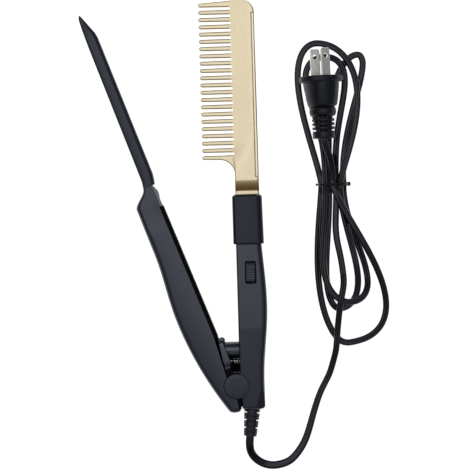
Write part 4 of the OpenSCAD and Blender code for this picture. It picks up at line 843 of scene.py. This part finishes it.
# %% Press blade
SLOT_END = TOOTH_N + 3.4
BLADE_END = SLOT_END + 9.7
y = np.concatenate([[139.0, 139.4], np.linspace(140, 236, 49), np.linspace(237, BLADE_END - 0.4, 30),
                    [BLADE_END - 0.15, BLADE_END]])
left = np.interp(y, [139, 141.4, 144, SLOT_END - 12, SLOT_END, BLADE_END - 2.2, BLADE_END],
                 [-8.3, -7.7, -7.5, -7.0, -6.7, -6.2, -5.3])
right = np.interp(y, [139, 141, 146, *(BLADE_END - np.array([17, 13.5, 10, 0.8, 0]))],
                  [-0.3, 0.2, 1.0, 1.0, 0.5, -0.8, -4.0, -4.6])
tip = ease((y - BLADE_END + 17) / 17)
tall = 6.0 - 2.6 * tip
across = np.array([1, 1, 0.99, 0.96, 0.88, 0.8, 0.74, 0.71, 0.68, 0.62, 0.5, 0.35, 0.2, 0.1, 0.04, 0.01,
                   0, 0])
height = np.array([0, 0.64, 0.75, 0.83, 0.90, 0.95, 0.985, 0.998, 1, 0.99, 0.97, 0.935, 0.89, 0.85, 0.79,
                   0.70, 0.58, 0])
x = left[:, None] + (right - left)[:, None] * across
z = tall[:, None] * height
rail_slot = box((-12, 4), (SLOT_END, 141.0), (MID - 2.7, MID + 2.7))
piece("press_blade_coated", "arm", "blade_coat", "press_blade", full_bar(y, x, z), place=opened, crease=24,
      steps=[(CUT, rail_slot)])

# %% [markdown]
# ## Hinge, guide post and spring
# Round caps close the pivot above and below. A thick post stands out of the handle and guides the arm,
# whose guide collar has a hole around it and a rounded bead at its upper end. Behind the post a coil
# spring pushes the arm open: it is one wire, wound by a formula.

# %% Caps and post
piece("pivot_cap_disc", "handle", "cap", "pivot_cap_top",
      turned(rounded_disc(22.0, 23.5, 8.0, 0.55, dish=0.12), around=96))
piece("pivot_foot_disc", "handle", "cap", "pivot_cap_bottom",
      turned(rounded_disc(0.0, 1.2, 8.0, 0.35), around=96))

POST_END, POST_SEAT = -7.7, 3.0
post_out = POST_SEAT - POST_END
post_profile = [(0.0, HUB), (0.0, 2.0), (0.02, 4.2), (0.1, 4.75), (0.3, 5.1), (0.6, 5.28), (1.0, POST_R),
                (0.5 * post_out, POST_R), (post_out, POST_R), (post_out, 3.95), (post_out + 6, 3.95),
                (post_out + 6, HUB)]
piece("guide_post_turned", "handle", "post", "guide_post",
      turned(post_profile, (POST_END, POST_Y, POST_Z), "x"))

# %% Guide collar on the arm
plate = slab(rounded_rectangle((12.4, 31.7), (4, 20), 4), PLATE_X - PLATE_T, PLATE_X, 0.5, (2, 0, 1))
bead = turned([(8.0, HUB), (8.0, 1.3), (8.2, 1.7), (8.6, 1.95), (15.6, 1.95), (16.1, 1.7), (16.4, 1.3),
               (16.5, HUB)], (2.1, 30.3, 0), around=48)
piece("guide_collar_moulded", "arm", "post", "guide_collar", plate, place=opened, even=True,
      steps=[(JOIN, bead), (CUT, prism(post_way_outline, (-3, 6), (2, 0, 1)))])

# %% Return spring
WIRE_D, SPRING_D, CURLS = 1.05, 5.2, 8
coil_r = (SPRING_D - WIRE_D) / 2
spring_meet = (PLATE_X - SPRING_Y * np.sin(OPEN)) / np.cos(OPEN)
angle = np.radians(-90 + np.linspace(0, 360 * CURLS, 24 * CURLS + 1))
reach = np.linspace(spring_meet + 1.4, SPRING_SEAT - 1, len(angle))
coil = np.stack([reach, SPRING_Y + coil_r * np.cos(angle), SPRING_Z + coil_r * np.sin(angle)], 1)
foot = np.array([spring_meet, SPRING_Y, SPRING_Z - coil_r])
seat = np.array([SPRING_SEAT, SPRING_Y, SPRING_Z - coil_r])
wire_line = np.concatenate([[foot, foot + (0.6, 0.15, 0)], coil, [seat - (0.5, 0, 0), seat]])
wire_ring = WIRE_D / 2 * oval(16, 4, np.pi / 16)[None]     # wire of rounded square section
spring = piece("return_spring_wire", "handle", "spring_steel", "return_spring",
               swept(wire_line, wire_ring, up=(1, 0.3, 0.3)), crease=60)
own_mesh(spring)

# %% [markdown]
# ## The rocker
# The switch is a rocker in a window of the handle. Its top is slightly hollow and carries seven grip
# grooves, and its sides lean in, so that a dark gap frames it. It is one bar along Y whose height is a
# formula: the smaller of a shallow hollow and the round end, less the grooves. It rests tilted by 5
# degrees.

# %% Rocker
y = np.linspace(-ROCKER_R + 0.15, ROCKER_R - 0.15, 221)
ends = np.sqrt(ROCKER_R ** 2 - y ** 2) - 1.2
hollow = 4.15 - 0.35 * np.exp(-(y / 3.2) ** 2)
top = -0.25 * np.logaddexp(-ends / 0.25, -hollow / 0.25)
grooves = ((y[:, None] - 1.47 * np.arange(-3, 4)[None]) / 0.24) ** 2
top = top - 0.42 * np.exp(-grooves).sum(1)
face = 2.8 + 0 * y
rim = np.array([[3.25, -1.6], [3.25, 1.2], [3.15, 2.2]])
share = np.linspace(-1, 1, 15)
shoulder = 0.35 * (1 - np.clip((1 - np.abs(share)) / 0.2, 0, 1) ** 0.5)
x = np.concatenate([np.broadcast_to(rim[:, 0], (len(y), 3)), -share[None] * face[:, None],
                    np.broadcast_to(-rim[::-1, 0], (len(y), 3))], 1)
z_side = np.minimum(rim[:, 1][None], top[:, None] - 0.6)
z_side[:, 0] = -1.6
z = np.concatenate([z_side, top[:, None] - shoulder[None], z_side[:, ::-1]], 1)
tilt = np.radians(5)
y_grid = np.broadcast_to(y[:, None], x.shape)
rings = np.stack([ROCKER_X + x, ROCKER_Y + y_grid * np.cos(tilt) - z * np.sin(tilt),
                  AXLE_Z + y_grid * np.sin(tilt) + z * np.cos(tilt)], 2)
piece("rocker_button", "rocker", "rocker", "switch_rocker", rings, crease=50)

# %% [markdown]
# ## Gland
# The strain relief is a rubber cone, slotted in turn from above and below and from the sides so that it
# can bend. In section each slot is a flat cut across the round: the radius is the smaller of the cone's
# own and the distance to the cut, divided by the sine or cosine of the angle. That makes the whole piece
# one surface.

# %% Gland
rib = GLAND_LEN / 9
s = np.unique(np.concatenate([np.linspace(-1.2, GLAND_LEN, 190), [0, GLAND_LEN - 0.3]]))
around = np.linspace(0, 2 * np.pi, 72, endpoint=False)
cone = np.interp(s, [-1.2, rib, GLAND_LEN - 0.5, GLAND_LEN - 0.15, GLAND_LEN],
                 [5.1, 5.1, 4.2, 4.1, 3.85])[:, None] + 0 * around[None]


def in_cut(starts):
    """1 inside the cuts, which begin at these places and are half a rib long, 0 outside, with steep walls."""
    depth = [ease((s - a) / 0.12) * ease((a + rib * 0.5 - s) / 0.12) for a in starts]
    return np.max(depth, axis=0)[:, None]


above = np.minimum(cone, 2.3 / np.maximum(np.abs(np.sin(around)), 0.05))
beside = np.minimum(cone, 3.1 / np.maximum(np.abs(np.cos(around)), 0.05))
front = in_cut(rib * (1.9 + 1.75 * np.arange(4)))
flank = in_cut(rib * (1 + 2.5 * np.arange(3)))
radius = cone - front * (cone - above) - flank * (cone - beside)
side_way = np.cross(gland_way, (0, 0, 1))
rings = (GLAND_AT + s[:, None, None] * gland_way + radius[..., None]
         * (np.cos(around)[:, None] * side_way + np.sin(around)[:, None] * np.array([0, 0, 1])))
gland = piece("gland_relief", "handle", "gland_rubber", "cord_gland", rings, crease=40)

# %% [markdown]
# ## Plug
# The plug is moulded in one with its finger guard and its strain relief. Seen along its axis every section
# is an oval, so it is one surface over stations: the round guard, a short step, the body that tapers, a
# thick ring, three fins and an end block. It lies on the hank, rolled on its side, so it is made upright
# and then rolled, turned and moved as a whole. The two blades are flat strips with a round hole near the
# tip.

# %% Plug body
PLUG_ROLL = np.radians(61)


def plug_placed(rings):
    """From the plug's own frame to its place: rolled about its axis, turned about Z and moved."""
    x, y, z = np.moveaxis(np.asarray(rings, float), -1, 0)
    rx, rz = x * np.cos(PLUG_ROLL) - z * np.sin(PLUG_ROLL), x * np.sin(PLUG_ROLL) + z * np.cos(PLUG_ROLL)
    return PLUG_AT + np.stack([rx * np.cos(PLUG_TURN) - y * np.sin(PLUG_TURN),
                               rx * np.sin(PLUG_TURN) + y * np.cos(PLUG_TURN), rz], -1)


def step_ring(y0, y1, half_x, half_z, edge):
    """Stations of a rounded ring from y0 down to y1: (place, half width, half height)."""
    past, drawn = fillet(edge, 5)
    inset = np.concatenate([drawn, drawn[::-1]])
    return [*zip(np.concatenate([y0 - past, (y1 + past)[::-1]]), half_x - inset, half_z - inset)]


CORE = (3.2, 3.2)
plug_line = [(0.0, 0.4, 0.4)] + step_ring(0.0, -3.7, 13.9, 13.9, 0.6)
BODY_LEN, RING_LEN = 15.7, 6.2
body_end = -3.7 - BODY_LEN
down = np.linspace(0, BODY_LEN, 20)
half_x = np.interp(down, [0, 4.6, 11, 15, BODY_LEN], [12.6, 12.1, 11.0, 10.1, 9.5])
half_z = np.interp(down, [0, 4.6, 11, 15, BODY_LEN], [10.2, 9.9, 9.2, 8.4, 7.8])
plug_line += [(-3.72 - s, a, b) for s, a, b in zip(down, half_x, half_z)]
swell = np.linspace(0, np.pi, 15)[1:]
bulge = 1.7 * np.sin(swell)
plug_line += [*zip(body_end - RING_LEN * (1 - np.cos(swell)) / 2, 7.4 + bulge, 6.6 + bulge)]
plug_line += [(body_end - RING_LEN - 0.05, *CORE)]
for y0 in (-27.2, -29.8, -32.4):
    plug_line += [(y0 + 0.05, *CORE)] + step_ring(y0, y0 - 1.6, 7.6, 7.0, 0.3) + [(y0 - 1.65, *CORE)]
plug_line += [(-34.95, *CORE)] + step_ring(-35.0, -PLUG_LEN, 7.6, 7.0, 0.9) + [(-PLUG_LEN, 3.0, 2.6)]
plug_line = np.array(plug_line)
on_body = (plug_line[:, 0] < -3.71) & (plug_line[:, 0] > body_end)
across, above = np.moveaxis(oval(96, 2 + 0.3 * on_body[:, None]), -1, 0)
rings = np.stack([plug_line[:, 1:2] * across, plug_line[:, :1] + 0 * across, plug_line[:, 2:] * above], 2)
plug = piece("plug_moulded", "handle", "plug_jacket", "plug_body", rings, place=plug_placed, crease=45)

# %% Plug blades
half = 6.35 / 2
tip = 17.8
outline = np.concatenate([[(-half, -5), (half, -5)], arc(half - 1.5, tip - 1.5, 1.5, 0, 90, 6),
                          arc(-half + 1.5, tip - 1.5, 1.5, 90, 180, 6)])


def twisted(rings, x0, turn):
    """Turns a blade about its own long axis at x0: use has bent one of them by a few degrees."""
    x, y, z = np.moveaxis(rings, -1, 0)
    return np.stack([x0 + (x - x0) * np.cos(turn) - z * np.sin(turn), y,
                     (x - x0) * np.sin(turn) + z * np.cos(turn)], -1)


pair, holes = [], []
for x, bend in ((-6.35, np.radians(9)), (6.35, np.radians(-3))):
    pair.append(twisted(slab(outline, x - 0.75, x + 0.75, 0.22, (2, 1, 0)), x, bend))
    holes.append(twisted(turned([(x - 2, 1.6), (x + 2, 1.6)], (0, tip - 5, 0), "x", 40), x, bend))
prongs = piece("plug_prongs", "handle", "prong_brass", "plug_blades", *pair, place=plug_placed, even=True,
               steps=[(CUT, *holes)])

# %% [markdown]
# ## Wire tie
# A plastic-coated wire holds the hank at its waist. It follows the bundle's outline closely and its ends
# are twisted together into a short pigtail on the right.

# %% Tie
half = 1.5 * SLOT_STEP + CORD_W / 2 + 0.75
over = [(half - 1.6, 0.5), (half + 0.1, 1.6), (half + 0.15, S1 + 1.0), (half - 2.0, S2 + 1.95),
        (1.6, S3 + CORD_T / 2 + 0.7)]
corners = np.array([(0, 0.5)] + over + [(-x, z) for x, z in over[::-1]] + [(0, 0.5)])
loop_points = np.stack([BUNDLE_X + corners[:, 0], TIE_Y + 0 * corners[:, 0], corners[:, 1]], 1)
loop, _ = smooth_line(loop_points, (1, 0, 0), (1, 0, 0), 0.5)
band = np.array([0.42, 0.65]) * oval(12)[None]
twist_run = np.linspace(0, 1, 60)
twists = []
for start in (0, np.pi):
    spin = start + twist_run * 2 * np.pi * 2.2
    twists.append(np.stack([BUNDLE_X + half - 0.2 + 1.5 * twist_run, TIE_Y + 0.7 * np.cos(spin),
                            S1 - 0.4 + 0.8 * np.sin(spin)], 1))
knob = turned([(-0.9, HUB), (-0.7, 0.6), (0, 0.95), (0.7, 0.6), (0.9, HUB)],
              (BUNDLE_X - half - 0.15, TIE_Y, S1 + 0.2), "x", 16)
tie = piece("wire_tie_coated", "handle", "tie", "cord_tie", swept(loop, band, up=(0, 1, 0)),
            *[swept(strand, 0.62 * oval(12)[None]) for strand in twists], knob, crease=60)

# %% [markdown]
# ## Screws
# Two screws from below hold each pair of shells. Only their heads show, sunk in round pockets. A head is a
# shallow dome with a cross recess, turned in one profile with its shank.

# %% Screws
def screw_rings(x, y):
    """Head and shank from below, as one turned profile along Z."""
    dome = [(0.5 + 0.35 * (r / 2.5) ** 2, r) for r in (HUB, 0.8, 1.5, 2.1, 2.4)]
    return turned(dome + [(1.0, 2.5), (2.5, 2.5), (2.5, 1.25), (15.6, 1.25), (16.3, 0.6), (16.5, HUB)],
                  (x, y, 0), around=40)


for body_name, spots in SCREWS.items():
    cross = [[box((x - w, x + w), (y - h, y + h), (-1, 1.35)) for x, y in spots]
             for w, h in ((1.3, 0.32), (0.32, 1.3))]
    piece(body_name + "_screw_set", body_name, "steel", body_name + "_screws",
          *[screw_rings(x, y) for x, y in spots], steps=[(CUT, *cross[0]), (CUT, *cross[1])],
          place=opened if body_name == "arm" else np.asarray)

# %% [markdown]
# ## Hidden pieces
# Heater, board, fuse, switch housing, leads and the pivot pin are inside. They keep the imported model's
# meshes, and their material slots get the same kinds of finishes, so that nothing turns grey if a shell is
# lifted.

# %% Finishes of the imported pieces
packed = 0
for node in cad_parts.values():
    for holder in node.material_slots:
        if holder.material and holder.material.name in FINISH:
            holder.material = FINISH[holder.material.name]
            packed += 1
print("packed pieces finished:", packed)

# %% [markdown]

# %% [markdown]
# ## Floor and light
# The ground is plain white. To make it white in the picture without flooding the object with light, the
# floor adds a little light of its own that only the camera and reflections see, and the rest is real
# diffuse white, so that the object's shadow stays. One wide soft lamp hangs overhead, and the flat tops
# mirror it. Around it the sky is dimmer and falls off towards the horizon, which darkens every rounded
# edge and the slope of the comb's neck.

# %% Floor
floor_mesh = bpy.data.meshes.new("floor")
reach = 6.0
floor_mesh.from_pydata([(x * reach, y * reach, 0) for x, y in ((-1, -1), (1, -1), (1, 1), (-1, 1))], [],
                       [(0, 1, 2, 3)])
floor = bpy.data.objects.new("floor", floor_mesh)
bpy.context.scene.collection.objects.link(floor)
floor.location = (0.0, 0.0, -0.0002)
paper = bpy.data.materials.new("white_paper")
paper.use_nodes = True
tree = paper.node_tree
tree.nodes.clear()
path = add(tree, "ShaderNodeLightPath")
seen = add(tree, "ShaderNodeMath", {0: path.outputs["Is Camera Ray"], 1: path.outputs["Is Glossy Ray"]},
           operation="MAXIMUM")
seen = add(tree, "ShaderNodeMath", {0: seen.outputs["Value"], 1: path.outputs["Is Transmission Ray"]},
           operation="MAXIMUM")
glow = add(tree, "ShaderNodeMath", {0: seen.outputs["Value"], 1: 0.92}, operation="MULTIPLY")
own = add(tree, "ShaderNodeEmission", {"Color": (1, 1, 1, 1), "Strength": glow.outputs["Value"]})
matt = add(tree, "ShaderNodeBsdfDiffuse", {"Color": linear("#CCCCCC")})
both = add(tree, "ShaderNodeAddShader", {0: own.outputs[0], 1: matt.outputs[0]})
add(tree, "ShaderNodeOutputMaterial", {"Surface": both.outputs[0]})
floor_mesh.materials.append(paper)
print("floor is", 2 * reach, "m wide")

# %% Light
world = bpy.data.worlds.new("studio")
bpy.context.scene.world = world
world.use_nodes = True
tree = world.node_tree
tree.nodes.clear()
ray = add(tree, "ShaderNodeTexCoord").outputs["Generated"]
up = add(tree, "ShaderNodeSeparateXYZ", {"Vector": ray})
dome = add(tree, "ShaderNodeMapRange", {"Value": up.outputs["Z"], "From Min": 0.25, "From Max": 1.0,
                                        "To Min": 0.10, "To Max": 0.50}, interpolation_type="SMOOTHSTEP")
sky = add(tree, "ShaderNodeBackground", {"Color": (1, 1, 1, 1), "Strength": dome.outputs["Result"]})
add(tree, "ShaderNodeOutputWorld", {"Surface": sky.outputs[0]})

LAMP_LEVEL = 1.05                # how bright the lamp's face is, where paper white is 1
lamp_data = bpy.data.lights.new("soft_lamp", "AREA")
lamp_data.shape, lamp_data.size, lamp_data.size_y = "RECTANGLE", 1.50, 0.75
lamp_data.energy = LAMP_LEVEL * np.pi * lamp_data.size * lamp_data.size_y
lamp = bpy.data.objects.new("soft_lamp", lamp_data)
bpy.context.scene.collection.objects.link(lamp)
lamp.location = (-0.375, 0.375, 1.2)
lamp.visible_camera = False
bpy.context.scene.view_settings.view_transform = "Standard"
print("lamp", lamp_data.energy, "W")
